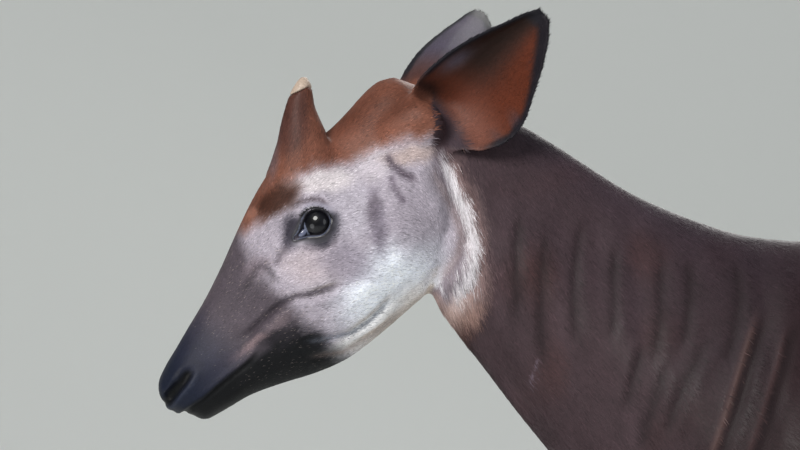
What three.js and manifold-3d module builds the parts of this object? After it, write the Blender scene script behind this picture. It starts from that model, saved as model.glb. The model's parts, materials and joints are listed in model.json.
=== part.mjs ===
// A life-size okapi standing on the floor, in millimetres. +Z is up, the nose points along -X and
// the animal's left side is -Y. The head and neck are lowered as if to a feed rack.
import * as THREE from 'three';
import { mergeVertices } from 'three/addons/utils/BufferGeometryUtils.js';
import Module from 'manifold-3d';

// Driving sizes
const WITHERS_HEIGHT = 1565;
const CROUP_HEIGHT = 1483;
const BELLY_HEIGHT = 868;
const RUMP_X = 1095;
const HEAD_PITCH = THREE.MathUtils.degToRad(43);
const MUZZLE = new THREE.Vector3(-800, 0, 1355);
const EYE_RADIUS = 22.5;
const EYE_SPACING = 147;
const LID_THICKNESS = 3;
const LID_RIM = 4.5;
const LID_RISE = 2.2;
const EAR_LENGTH = 209;
const EAR_THICKNESS = 5;
const OSSICONE_SPACING = 88;
const MOUTH_LENGTH = 132;
const KNEE_HEIGHT = 512;
const HOCK_HEIGHT = 575;
const CORONET_FRONT = 70;
const CORONET_BACK = 40;
const CLEFT = 6;
const DOCK_LENGTH = 330;
const TUFT_LENGTH = 150;
const TUFT_LOCKS = 8;
const SEAM = 0.3;

// How far each foot is set ahead of (-) or behind (+) its plain stance
const STRIDE = { fore_left: -34, fore_right: 46, hind_left: 52, hind_right: -40 };

const wasm = await Module();
wasm.setup();

// Materials
const finish = (color, roughness) => new THREE.MeshStandardMaterial({ color, roughness, metalness: 0 });
const COAT = finish(0x3b2724, 0.72);
const FACE = finish(0xa9a2a6, 0.75);
const SOCK = finish(0xcfc6ba, 0.75);
const EAR_SKIN = finish(0x54392f, 0.7);
const BARE_HORN = finish(0xcfc3a2, 0.45);
const HOOF = finish(0x2a2422, 0.5);
const EYEBALL = finish(0x14161c, 0.08);
const TAIL_HAIR = finish(0x1b1413, 0.7);

// Stations: rows of sizes, blended smoothly by their first value
function tangent(rows, i, read) {
  const before = rows[Math.max(i - 1, 0)];
  const after = rows[Math.min(i + 1, rows.length - 1)];
  return (read(after) - read(before)) / (after.at - before.at);
}

function blendValue(rows, at, read) {
  let i = 0;
  while (i < rows.length - 2 && at > rows[i + 1].at) i += 1;
  const step = rows[i + 1].at - rows[i].at;
  const t = THREE.MathUtils.clamp((at - rows[i].at) / step, 0, 1);
  const fall = (1 + 2 * t) * (1 - t) ** 2;
  const leave = t * (1 - t) ** 2 * step * tangent(rows, i, read);
  const arrive = t * t * (t - 1) * step * tangent(rows, i + 1, read);
  return read(rows[i]) * fall + leave + arrive + read(rows[i + 1]) * (1 - fall);
}

function stationAt(rows, at) {
  const blended = {};
  for (const key of Object.keys(rows[0])) {
    const value = rows[0][key];
    blended[key] = Array.isArray(value)
      ? value.map((_, k) => blendValue(rows, at, (row) => row[key][k]))
      : blendValue(rows, at, (row) => row[key]);
  }
  return blended;
}

const spread = (from, to, count) => Array.from(
  { length: count },
  (_, i) => from + ((to - from) * i) / (count - 1),
);

// Surfaces
// A closed section from point a to point b, with its half widths across Y at four levels between them.
const LEVELS = [0.07, 0.29, 0.57, 0.86];

function section(a, b, widths, sides) {
  const at = (level, y) => a.clone().lerp(b, level).add(new THREE.Vector3(0, y, 0));
  const right = LEVELS.map((level, k) => at(level, widths[k]));
  const left = LEVELS.map((level, k) => at(level, -widths[k])).reverse();
  const curve = new THREE.CatmullRomCurve3([a, ...right, b, ...left], true, 'centripetal');
  return Array.from({ length: sides }, (_, i) => curve.getPoint(i / sides));
}

function closedMesh(points, triangles) {
  const geometry = new THREE.BufferGeometry();
  geometry.setAttribute('position', new THREE.Float32BufferAttribute(points.flatMap((p) => p.toArray()), 3));
  geometry.setIndex(triangles);
  return geometry;
}

// A skin over a row of rings, closed at both ends round each end ring's middle.
function loft(rings) {
  const sides = rings[0].length;
  const points = rings.flat();
  const middle = (ring) => ring.reduce((sum, p) => sum.add(p), new THREE.Vector3()).divideScalar(sides);
  points.push(middle(rings[0]), middle(rings[rings.length - 1]));
  const [first, last] = [points.length - 2, points.length - 1];
  const triangles = [];
  for (let i = 0; i < sides; i += 1) {
    const next = (i + 1) % sides;
    triangles.push(first, next, i);
    for (let r = 0; r < rings.length - 1; r += 1) {
      const [a, b] = [r * sides + i, r * sides + next];
      triangles.push(a, b, b + sides, a, b + sides, a + sides);
    }
    const end = (rings.length - 1) * sides;
    triangles.push(last, end + i, end + next);
  }
  return closedMesh(points, triangles);
}

// A tapering round or flat stem along a curve. size(t) gives its half width and half thickness.
function stem(curve, size, across, rings, sides) {
  return loft(spread(0, 1, rings).map((t) => {
    const along = curve.getTangent(t);
    const thick = along.clone().cross(across).normalize();
    const wide = thick.clone().cross(along).normalize();
    const [halfWide, halfThick] = size(t);
    return Array.from({ length: sides }, (_, i) => {
      const turn = (i / sides) * Math.PI * 2;
      return curve.getPoint(t)
        .addScaledVector(wide, Math.cos(turn) * halfWide)
        .addScaledVector(thick, Math.sin(turn) * halfThick);
    });
  }));
}

// Solids
function solid(geometry) {
  const bare = geometry.clone();
  for (const name of Object.keys(bare.attributes)) if (name !== 'position') bare.deleteAttribute(name);
  const merged = mergeVertices(bare, 1e-4);
  const facing = (triVerts) => new wasm.Manifold(
    new wasm.Mesh({ numProp: 3, vertProperties: merged.attributes.position.array, triVerts }));
  const triVerts = new Uint32Array(merged.index.array);
  const made = facing(triVerts);
  return made.volume() > 0 ? made : facing(triVerts.reverse());
}

// Keeps the largest closed surface of what a cut leaves.
const largest = (made) => made.decompose().sort((p, q) => q.volume() - p.volume())[0];

const placed = (geometry, matrix) => solid(geometry.clone().applyMatrix4(matrix));

function node(name, made, material) {
  const { numProp, vertProperties, triVerts } = largest(made).getMesh();
  const positions = new Float32Array((vertProperties.length / numProp) * 3);
  for (let i = 0; i < positions.length; i += 1) {
    positions[i] = vertProperties[Math.floor(i / 3) * numProp + (i % 3)];
  }
  const geometry = new THREE.BufferGeometry();
  geometry.setAttribute('position', new THREE.BufferAttribute(positions, 3));
  geometry.setIndex(new THREE.BufferAttribute(triVerts, 1));
  geometry.computeVertexNormals();
  const mesh = new THREE.Mesh(geometry, material);
  mesh.name = name;
  return mesh;
}

// The plane through two points of the side view, seen edge on, with its normal and offset.
function sidePlane([ax, az], [bx, bz]) {
  const normal = new THREE.Vector3(bz - az, 0, ax - bx).normalize();
  return { normal: normal.toArray(), offset: normal.x * ax + normal.z * az };
}

// The two sides of a solid along a plane, with the seam left open between them.
function parted(made, { normal, offset }) {
  const away = normal.map((value) => -value);
  return [
    made.trimByPlane(normal, offset + SEAM / 2),
    made.trimByPlane(away, -offset + SEAM / 2),
  ];
}

// Trunk: neck and torso in one sweep, each row a dorsal point, a ventral point and half widths
const TRUNK = [
  { dorsal: [-506, 1744], ventral: [-484, 1524], widths: [22, 40, 48, 30] },
  { dorsal: [-448, 1744], ventral: [-474, 1497], widths: [25, 44, 56, 35] },
  { dorsal: [-397, 1728], ventral: [-464, 1475], widths: [26, 47, 62, 40] },
  { dorsal: [-346, 1703], ventral: [-437, 1436], widths: [26, 51, 70, 45] },
  { dorsal: [-291, 1669], ventral: [-407, 1396], widths: [27, 55, 78, 50] },
  { dorsal: [-234, 1632], ventral: [-371, 1348], widths: [29, 60, 84, 54] },
  { dorsal: [-186, 1607], ventral: [-339, 1308], widths: [32, 66, 92, 60] },
  { dorsal: [-127, 1584], ventral: [-303, 1262], widths: [36, 75, 103, 68] },
  { dorsal: [-72, 1568], ventral: [-266, 1206], widths: [41, 88, 118, 80] },
  { dorsal: [0, 1561], ventral: [-224, 1138], widths: [46, 103, 138, 92] },
  { dorsal: [62, WITHERS_HEIGHT - 1], ventral: [-176, 1056], widths: [48, 116, 156, 98] },
  { dorsal: [122, WITHERS_HEIGHT], ventral: [-104, 978], widths: [50, 128, 171, 102] },
  { dorsal: [190, 1558], ventral: [0, 915], widths: [55, 143, 188, 108] },
  { dorsal: [272, 1542], ventral: [142, BELLY_HEIGHT + 12], widths: [64, 160, 208, 128] },
  { dorsal: [362, 1524], ventral: [300, BELLY_HEIGHT], widths: [72, 176, 227, 146] },
  { dorsal: [460, 1508], ventral: [440, BELLY_HEIGHT + 5], widths: [80, 188, 241, 158] },
  { dorsal: [560, 1497], ventral: [562, 892], widths: [86, 196, 248, 162] },
  { dorsal: [660, 1490], ventral: [672, 924], widths: [92, 199, 241, 150] },
  { dorsal: [760, CROUP_HEIGHT], ventral: [772, 962], widths: [96, 197, 224, 128] },
  { dorsal: [858, 1468], ventral: [862, 996], widths: [96, 188, 203, 104] },
  { dorsal: [942, 1444], ventral: [934, 1028], widths: [90, 168, 178, 92] },
  { dorsal: [1018, 1404], ventral: [1000, 1066], widths: [78, 144, 154, 82] },
  { dorsal: [1072, 1350], ventral: [1054, 1128], widths: [56, 108, 116, 64] },
  { dorsal: [RUMP_X, 1296], ventral: [1086, 1190], widths: [26, 52, 56, 32] },
].map((row, at) => ({ at, ...row }));
const TRUNK_RINGS = 47;
const TRUNK_SIDES = 30;

function trunk(grow = 0) {
  return solid(loft(spread(0, TRUNK.length - 1, TRUNK_RINGS).map((at) => {
    const { dorsal, ventral, widths } = stationAt(TRUNK, at);
    const a = new THREE.Vector3(dorsal[0], 0, dorsal[1]);
    const b = new THREE.Vector3(ventral[0], 0, ventral[1]);
    const out = a.clone().sub(b).setLength(grow);
    return section(a.add(out), b.sub(out), widths.map((w) => w + grow), TRUNK_SIDES);
  })));
}

// Head: sections across its own axis, from the muzzle back to the poll
const HEAD = [
  { at: -12, top: 13, jaw: -6, widths: [7, 12, 12, 7] },
  { at: -8, top: 22, jaw: -13, widths: [17, 25, 26, 15] },
  { at: 0, top: 31, jaw: -27, widths: [23, 35, 37, 25] },
  { at: 9, top: 36, jaw: -44, widths: [26, 40, 42, 31] },
  { at: 25, top: 42, jaw: -50, widths: [26, 42, 45, 34] },
  { at: 46, top: 48, jaw: -55, widths: [24, 39, 44, 35] },
  { at: 76, top: 57, jaw: -62, widths: [23, 37, 43, 34] },
  { at: 114, top: 68, jaw: -78, widths: [25, 40, 48, 36] },
  { at: 155, top: 83, jaw: -98, widths: [30, 49, 58, 42] },
  { at: 195, top: 100, jaw: -112, widths: [38, 64, 70, 48] },
  { at: 232, top: 115, jaw: -117, widths: [48, 79, 81, 54] },
  { at: 268, top: 127, jaw: -119, widths: [57, 89, 87, 57] },
  { at: 302, top: 134, jaw: -120, widths: [58, 91, 91, 60] },
  { at: 335, top: 130, jaw: -121, widths: [52, 82, 90, 62] },
  { at: 368, top: 120, jaw: -115, widths: [43, 70, 88, 64] },
  { at: 402, top: 119, jaw: -102, widths: [38, 62, 84, 64] },
  { at: 436, top: 122, jaw: -84, widths: [36, 58, 75, 56] },
  { at: 466, top: 122, jaw: -44, widths: [33, 52, 58, 37] },
  { at: 488, top: 110, jaw: -12, widths: [25, 40, 42, 26] },
  { at: 504, top: 78, jaw: 34, widths: [9, 13, 13, 9] },
];
const HEAD_SIDES = 30;
const HEAD_PLACES = [
  ...spread(-12, 8, 6),
  ...spread(16, 76, 8),
  ...spread(90, 232, 9),
  ...spread(246, 344, 8),
  ...spread(360, 504, 9),
];

const FORE = new THREE.Vector3(Math.cos(HEAD_PITCH), 0, Math.sin(HEAD_PITCH));
const DORSAL = new THREE.Vector3(-Math.sin(HEAD_PITCH), 0, Math.cos(HEAD_PITCH));
// A point given by its distance back from the muzzle, its height on the head's axis and its place across
const onHead = (back, height, across = 0) => MUZZLE.clone()
  .addScaledVector(FORE, back)
  .addScaledVector(DORSAL, height)
  .add(new THREE.Vector3(0, across, 0));

// Swellings (+) and hollows (-) of the face: middle, reach along the head, reach up and down, depth
const FACE_FORMS = [
  { name: 'brow', back: 302, height: 72, long: 26, tall: 9, depth: 5 },
  { name: 'temple', back: 366, height: 66, long: 24, tall: 22, depth: -6 },
  { name: 'cheek', back: 352, height: -44, long: 42, tall: 30, depth: 5 },
  { name: 'cheekbone', back: 306, height: 4, long: 34, tall: 10, depth: 4 },
  { name: 'eye hollow', back: 226, height: 60, long: 22, tall: 22, depth: -6 },
  { name: 'muzzle waist', back: 122, height: 6, long: 22, tall: 20, depth: -4 },
  { name: 'upper lip', back: 20, height: -8, long: 16, tall: 9, depth: 3 },
  { name: 'nostril wing', back: 26, height: 26, long: 18, tall: 9, depth: 3 },
];

function faceForm(back, height) {
  return FACE_FORMS.reduce((sum, form) => {
    const along = (back - form.back) / form.long;
    const up = (height - form.height) / form.tall;
    return sum + form.depth * Math.exp(-(along * along + up * up) / 2);
  }, 0);
}

function headForm(grow = 0, from = -12) {
  return solid(loft(HEAD_PLACES.filter((at) => at >= from).map((at) => {
    const { top, jaw, widths } = stationAt(HEAD, at);
    const half = widths.map((w) => Math.max(w + grow, 2));
    const ring = section(onHead(at, top + grow), onHead(at, jaw - grow), half, HEAD_SIDES);
    return ring.map((p) => {
      const height = p.clone().sub(MUZZLE).dot(DORSAL);
      const edge = Math.min(Math.abs(p.y) / 20, 1);
      return p.add(new THREE.Vector3(0, Math.sign(p.y) * edge * faceForm(at, height), 0));
    });
  })));
}

// Where each ear stands, its own axis and the way to its rear edge
const EAR_POSE = {
  left: { root: new THREE.Vector3(-480, -55, 1714), axis: [0.695, -0.329, 0.638], rear: [0.675, 0, -0.739] },
  right: { root: new THREE.Vector3(-487, 55, 1724), axis: [0.37, 0.66, 0.655], rear: [0.87, 0, -0.491] },
};

// The tapered root that each ear stands on, rounded at its top
function earRoot(side, grow = 0) {
  const { root, axis, rear } = EAR_POSE[side < 0 ? 'left' : 'right'];
  const along = new THREE.Vector3(...axis).normalize();
  const foot = root.clone().addScaledVector(along, -46);
  const curve = new THREE.LineCurve3(foot, root.clone().addScaledVector(along, 24 + grow));
  const size = (t) => {
    const round = t < 0.6 ? 1 : Math.sqrt(1 - 0.96 * ((t - 0.6) / 0.4) ** 2);
    return [(41 - 11 * t) * round + grow, (31 - 10 * t) * round + grow];
  };
  return solid(stem(curve, size, new THREE.Vector3(...rear), 9, 14));
}

// The closed mouth: a shallow slit round the muzzle, under the upper lip
function mouthSlit() {
  const lipDepth = 9;
  const gape = 1.3;
  const line = [[-26, -20], [3, -21.5], [34, -26], [70, -28], [106, -27], [MOUTH_LENGTH, -26]];
  const middle = new THREE.SplineCurve(line.map(([x, y]) => new THREE.Vector2(x, y)));
  const points = middle.getPoints(12);
  const lower = points.map((p, i) => new THREE.Vector2(p.x, p.y - gape * (1.3 - i / 12)));
  const upper = points.map((p, i) => new THREE.Vector2(p.x, p.y + gape * (1.3 - i / 12))).reverse();
  const slit = new THREE.ExtrudeGeometry(new THREE.Shape([...lower, ...upper]), {
    depth: 140, bevelEnabled: false, steps: 1 });
  slit.translate(0, 0, -70);
  const basis = new THREE.Matrix4().makeBasis(FORE, DORSAL, FORE.clone().cross(DORSAL)).setPosition(MUZZLE);
  return placed(slit, basis).subtract(headForm(-lipDepth, 2));
}

// A nostril: a slit that widens towards the front of the muzzle, cut slantwise into its side
function nostril(side) {
  const curve = new THREE.CatmullRomCurve3([
    onHead(-8, 10, side * 28),
    onHead(4, 10, side * 37),
    onHead(20, 12, side * 43),
    onHead(44, 18, side * 42),
  ]);
  const open = (t) => [12 - 3 * t, 6 - 4.6 * t];
  return solid(stem(curve, open, new THREE.Vector3(0.2, side, -0.1), 9, 10));
}

// Eyes
const eyeCentre = (side) => new THREE.Vector3(-614, (side * EYE_SPACING) / 2, 1581.5);
const eyeLook = (side) => new THREE.Vector3(-0.3, side * 0.94, 0.08).normalize();

function ball(centre, radius, across = 16, down = 10) {
  const geometry = new THREE.SphereGeometry(radius, across, down);
  return solid(geometry.translate(centre.x, centre.y, centre.z));
}

// The almond gap between the lids, with its inner corner drawn down towards the nose. Its margin
// widens it to the outer edge of the raised rim.
const LID_LINE = [
  [-27, -22], [-20, -11], [-15.5, 0], [-11, 9], [-4, 15], [4, 16.5], [12, 14], [18, 8],
  [20.5, 0], [18.5, -8], [13, -14.5], [5, -17.5], [-5, -18], [-16, -20],
];
function lidPrism(side, margin, points) {
  const line = new THREE.SplineCurve([...LID_LINE, LID_LINE[0]].map(([x, y]) => {
    const reach = 1 + margin / Math.hypot(x, y);
    return new THREE.Vector2(x * reach, y * reach);
  })).getPoints(points);
  const plan = new THREE.Shape(line);
  const prism = new THREE.ExtrudeGeometry(plan, { depth: 40, bevelEnabled: false, steps: 1 });
  const look = eyeLook(side);
  const back = look.clone().cross(new THREE.Vector3(0, 0, 1)).normalize().multiplyScalar(side);
  const up = back.clone().cross(look).multiplyScalar(side);
  const basis = new THREE.Matrix4().makeBasis(back, up, look).setPosition(eyeCentre(side));
  return placed(prism, basis);
}

// Ossicones: short skin-covered horns with a bare, bevelled tip
const OSSICONE = [
  { at: 1622, front: -688, back: -560, half: 40, spread: 0.86 },
  { at: 1642, front: -684, back: -572, half: 38, spread: 0.9 },
  { at: 1660, front: -677, back: -586, half: 34, spread: 0.94 },
  { at: 1684, front: -669, back: -600, half: 29, spread: 0.98 },
  { at: 1704, front: -665, back: -608, half: 24, spread: 1 },
  { at: 1720, front: -661, back: -616, half: 20, spread: 1.01 },
  { at: 1736, front: -656, back: -622, half: 16.5, spread: 1.03 },
  { at: 1750, front: -650, back: -624, half: 13.5, spread: 1.04 },
  { at: 1760, front: -644, back: -626, half: 9.5, spread: 1.05 },
  { at: 1767, front: -638, back: -630, half: 4, spread: 1.06 },
];
const BARE_TIP = sidePlane([-658, 1741], [-622, 1757]);

function ossicone(side) {
  return solid(loft(OSSICONE.map(({ at, front, back, half, spread: apart }) => {
    const across = (side * OSSICONE_SPACING * apart) / 2;
    const end = (x) => new THREE.Vector3(x, across, at);
    return section(end(front), end(back), [0.55, 0.96, 1, 0.62].map((share) => share * half), 12);
  })));
}

// Ears: broad cups, each set at its own angle
const EAR = [
  { at: -0.14, front: -30, rear: 30, cup: 34 },
  { at: 0, front: -37, rear: 58, cup: 44 },
  { at: 0.15, front: -43, rear: 84, cup: 47 },
  { at: 0.31, front: -43, rear: 95, cup: 44 },
  { at: 0.48, front: -39, rear: 88, cup: 36 },
  { at: 0.65, front: -30, rear: 68, cup: 26 },
  { at: 0.83, front: -18, rear: 45, cup: 15 },
  { at: 0.94, front: -11, rear: 28, cup: 8 },
  { at: 1, front: -4, rear: 15, cup: 3 },
];
const EAR_ROWS = 13;
const EAR_COLUMNS = 10;

function ear(name, side) {
  const { root, axis, rear } = EAR_POSE[name];
  const along = new THREE.Vector3(...axis).normalize();
  const behind = new THREE.Vector3(...rear).normalize();
  const open = along.clone().cross(behind).multiplyScalar(side).normalize();
  const place = (t, q) => {
    const { front, rear: back, cup } = stationAt(EAR, t);
    const deep = cup * Math.sin(Math.PI * q ** 0.72);
    return root.clone()
      .addScaledVector(along, t * EAR_LENGTH)
      .addScaledVector(behind, front + (back - front) * q)
      .addScaledVector(open, -deep);
  };
  const step = 1e-3;
  const face = (way) => spread(-0.14, 1, EAR_ROWS).flatMap((t) => spread(0, 1, EAR_COLUMNS).map((q) => {
    const low = Math.max(q - step, 0);
    const up = place(t + step, q).sub(place(t - step, q));
    const over = place(t, low + step).sub(place(t, low));
    const normal = up.cross(over).normalize();
    const thin = 0.35 + 0.65 * Math.sin(Math.PI * THREE.MathUtils.clamp(q, 0.02, 0.98)) ** 0.5;
    const half = (EAR_THICKNESS / 2) * thin * (1 - 0.45 * Math.max(t, 0));
    return place(t, q).addScaledVector(normal, way * half);
  }));
  const points = [...face(1), ...face(-1)];
  const other = EAR_ROWS * EAR_COLUMNS;
  const triangles = [];
  const quad = (a, b, c, d) => triangles.push(a, b, c, a, c, d);
  for (let r = 0; r < EAR_ROWS - 1; r += 1) {
    for (let c = 0; c < EAR_COLUMNS - 1; c += 1) {
      const a = r * EAR_COLUMNS + c;
      const d = a + EAR_COLUMNS;
      quad(a, a + 1, d + 1, d);
      triangles.push(other + a, other + d + 1, other + a + 1, other + a, other + d, other + d + 1);
    }
    const [first, last] = [r * EAR_COLUMNS, (r + 1) * EAR_COLUMNS - 1];
    quad(first, first + EAR_COLUMNS, other + first + EAR_COLUMNS, other + first);
    quad(last, other + last, other + last + EAR_COLUMNS, last + EAR_COLUMNS);
  }
  for (let c = 0; c < EAR_COLUMNS - 1; c += 1) {
    const end = (EAR_ROWS - 1) * EAR_COLUMNS + c;
    quad(c, other + c, other + c + 1, c + 1);
    quad(end, end + 1, other + end + 1, other + end);
  }
  return solid(closedMesh(points, triangles));
}

// Legs: level sections, each with its front and back edge, its place across and its half width
const FORELEG = [
  { at: 0, front: -50, back: 62, across: 104, half: 46 },
  { at: 12, front: -47, back: 62, across: 104, half: 46 },
  { at: 32, front: -37, back: 60, across: 104, half: 43.5 },
  { at: 54, front: -27, back: 58, across: 104, half: 39.5 },
  { at: 72, front: -18, back: 57, across: 104, half: 35.5 },
  { at: 90, front: -10, back: 56, across: 104, half: 31 },
  { at: 110, front: -4, back: 58, across: 103, half: 27 },
  { at: 138, front: -1, back: 70, across: 102, half: 27.5 },
  { at: 165, front: 1, back: 75, across: 101, half: 30 },
  { at: 200, front: 5, back: 71, across: 100, half: 27 },
  { at: 262, front: 9, back: 66, across: 100, half: 23 },
  { at: 350, front: 9, back: 65, across: 100, half: 23 },
  { at: 425, front: 6, back: 68, across: 100, half: 26.5 },
  { at: 470, front: -4, back: 73, across: 100, half: 33 },
  { at: KNEE_HEIGHT, front: -10, back: 76, across: 100, half: 37 },
  { at: 556, front: -9, back: 73, across: 101, half: 35 },
  { at: 606, front: -8, back: 74, across: 103, half: 33 },
  { at: 700, front: -14, back: 83, across: 106, half: 38 },
  { at: 820, front: -27, back: 104, across: 110, half: 46 },
  { at: 900, front: -44, back: 134, across: 112, half: 53 },
  { at: 965, front: -68, back: 158, across: 112, half: 59 },
  { at: 1040, front: -104, back: 168, across: 110, half: 62 },
  { at: 1120, front: -126, back: 166, across: 106, half: 60 },
  { at: 1200, front: -110, back: 165, across: 100, half: 54 },
  { at: 1290, front: -60, back: 160, across: 92, half: 36 },
];
const HINDLEG = [
  { at: 0, front: 838, back: 946, across: 106, half: 45 },
  { at: 12, front: 841, back: 946, across: 106, half: 45 },
  { at: 32, front: 850, back: 944, across: 106, half: 42.5 },
  { at: 54, front: 860, back: 943, across: 106, half: 38.5 },
  { at: 72, front: 869, back: 942, across: 106, half: 34.5 },
  { at: 90, front: 877, back: 942, across: 106, half: 30.5 },
  { at: 110, front: 885, back: 946, across: 106, half: 26.5 },
  { at: 138, front: 892, back: 958, across: 106, half: 27 },
  { at: 168, front: 901, back: 971, across: 106, half: 29.5 },
  { at: 204, front: 909, back: 968, across: 106, half: 26 },
  { at: 280, front: 914, back: 968, across: 106, half: 23 },
  { at: 380, front: 920, back: 974, across: 107, half: 23 },
  { at: 460, front: 924, back: 984, across: 108, half: 26.5 },
  { at: 512, front: 922, back: 996, across: 109, half: 31 },
  { at: HOCK_HEIGHT, front: 914, back: 1012, across: 111, half: 33 },
  { at: 616, front: 903, back: 1013, across: 113, half: 31 },
  { at: 660, front: 880, back: 990, across: 117, half: 35 },
  { at: 722, front: 832, back: 970, across: 122, half: 45 },
  { at: 800, front: 776, back: 980, across: 128, half: 57 },
  { at: 880, front: 730, back: 1006, across: 132, half: 69 },
  { at: 960, front: 712, back: 1044, across: 134, half: 79 },
  { at: 1050, front: 720, back: 1066, across: 130, half: 84 },
  { at: 1150, front: 742, back: 1066, across: 120, half: 80 },
  { at: 1250, front: 770, back: 1030, across: 104, half: 62 },
  { at: 1335, front: 810, back: 980, across: 84, half: 36 },
];
const LEG_SHAPE = [0.64, 0.97, 1, 0.8];
const LEG_SIDES = 14;
const STRIDE_FROM = 1150;

// A foot's stride fades out up the leg, and is left out of the foot itself
const strideAt = (stride, z) => stride * (1 - THREE.MathUtils.clamp((z - 150) / (STRIDE_FROM - 150), 0, 1));

function leg(rows, side, stride) {
  return solid(loft(rows.map(({ at, front, back, across, half }) => {
    const shift = strideAt(stride, at);
    const end = (x) => new THREE.Vector3(x + shift, side * across, at);
    return section(end(front), end(back), LEG_SHAPE.map((share) => share * half), LEG_SIDES);
  })));
}

// The cleft between the two toes. It opens towards their tips and runs up into the pastern.
function toeCleft(x, across) {
  const edge = [[-70, CLEFT * 1.5], [0, CLEFT / 2], [140, CLEFT / 2]];
  const plan = new THREE.Shape([
    ...edge.map(([px, py]) => new THREE.Vector2(px, -py)),
    ...edge.reverse().map(([px, py]) => new THREE.Vector2(px, py)),
  ]);
  const cut = new THREE.ExtrudeGeometry(plan, { depth: 140, bevelEnabled: false }).translate(x, across, -20);
  const top = sidePlane([x - 70, 92], [x + 80, 84]);
  return solid(cut).trimByPlane(top.normal, top.offset);
}

// Tail
const TAIL = new THREE.CatmullRomCurve3([
  new THREE.Vector3(1030, 0, 1372), new THREE.Vector3(1082, 0, 1366), new THREE.Vector3(1112, 0, 1318),
  new THREE.Vector3(1124, 0, 1230), new THREE.Vector3(1126, 0, 1366 - DOCK_LENGTH)]);

function dock() {
  const rows = [
    { at: 0, half: 34 },
    { at: 0.2, half: 29 },
    { at: 0.4, half: 20 },
    { at: 0.7, half: 13 },
    { at: 1, half: 9 },
  ];
  const size = (t) => {
    const { half } = stationAt(rows, t);
    return [half * 1.1, half];
  };
  return solid(stem(TAIL, size, new THREE.Vector3(0, 1, 0), 12, 12));
}

// The brush at the end of the dock: a tapered core with flat, pointed locks that fan out round it
function tuft() {
  const end = TAIL.getPoint(1);
  const random = seededRandom(11);
  const down = (drop, out = new THREE.Vector3(), distance = 0) => end.clone()
    .addScaledVector(out, distance)
    .add(new THREE.Vector3(0, 0, -drop * TUFT_LENGTH));
  const rows = [{ at: 0, half: 9 }, { at: 0.4, half: 14 }, { at: 0.75, half: 9 }, { at: 1, half: 2 }];
  const size = (t) => {
    const { half } = stationAt(rows, t);
    return [half, half * 0.92];
  };
  const axis = new THREE.CatmullRomCurve3([down(SEAM / TUFT_LENGTH), down(0.45), down(0.9)]);
  const core = solid(stem(axis, size, new THREE.Vector3(0, 1, 0), 6, 10));
  return Array.from({ length: TUFT_LOCKS }, (_, i) => {
    const turn = ((i + 0.35 * random()) / TUFT_LOCKS) * Math.PI * 2;
    const out = new THREE.Vector3(Math.cos(turn), Math.sin(turn), 0);
    const root = 0.08 + 0.16 * random();
    const tip = 0.84 + 0.16 * random();
    const flare = 13 + 5 * random();
    const curve = new THREE.CatmullRomCurve3([
      down(root, out, 5),
      down(root + 0.25, out, flare),
      down((root + tip) / 2 + 0.1, out, flare + 1),
      down(tip, out, flare * 0.7),
    ]);
    const blade = (t) => [5.6 * (1 - t) ** 0.55 + 0.5, 2.4 * (1 - t) ** 0.4 + 0.3];
    return solid(stem(curve, blade, out.clone().cross(new THREE.Vector3(0, 0, 1)), 5, 4));
  }).reduce((sum, lock) => sum.add(lock), core);
}

// A small repeatable random source
function seededRandom(seed) {
  let state = seed;
  return () => {
    state = (state * 16807) % 2147483647;
    return state / 2147483647;
  };
}

// Assembly
const SIDES = { left: -1, right: 1 };
const okapi = new THREE.Group();

const bothSides = Object.values(SIDES);
const skull = (grow) => bothSides.reduce((sum, side) => sum.add(earRoot(side, grow)), headForm(grow));
const bareHead = skull(SEAM);
let head = skull(0);
const raisedHead = headForm(LID_RISE);
for (const side of bothSides) {
  const socket = ball(eyeCentre(side), EYE_RADIUS + LID_THICKNESS + LID_RISE, 20, 14);
  const rim = socket.add(raisedHead).intersect(lidPrism(side, LID_RIM, 22));
  head = head.add(ball(eyeCentre(side), EYE_RADIUS + LID_THICKNESS)).add(rim);
}
for (const side of bothSides) {
  head = head.subtract(ball(eyeCentre(side), EYE_RADIUS + SEAM));
  head = head.subtract(lidPrism(side, 0, 26)).subtract(nostril(side));
}
head = head.subtract(mouthSlit());

const throat = sidePlane([-403, 1739], [-450, 1456]);
const shoulder = sidePlane([-72, 1568], [-266, 1206]);
const body = trunk();
const grownTrunk = trunk(SEAM);
const [headHalf, behindHead] = parted(head.add(body), throat);
const [neck, torsoWhole] = parted(behindHead, shoulder);

// Each leg is cut out of the body by a prism over its outline in the side view
const LEG_CUTS = {
  fore: [
    [-150, -10], [-150, 860], [-205, 1010], [-212, 1120], [-150, 1215], [0, 1262],
    [120, 1240], [168, 1120], [172, 980], [150, 860], [170, 700], [170, -10],
  ],
  hind: [
    [780, -10], [780, 640], [680, 860], [672, 960], [690, 1120],
    [760, 1240], [860, 1290], [980, 1270], [1150, 1180], [1150, -10],
  ],
};
function legPrism(outline, side, inner, grow) {
  const shape = new THREE.Shape(outline.map(([x, z]) => new THREE.Vector2(x, z)));
  const prism = new THREE.ExtrudeGeometry(shape, {
    depth: 300, bevelEnabled: grow > 0, bevelSize: grow, bevelThickness: grow, bevelSegments: 1, steps: 1 });
  prism.rotateX(Math.PI / 2).translate(0, side > 0 ? inner + 300 : -inner, 0);
  return solid(prism);
}

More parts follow.
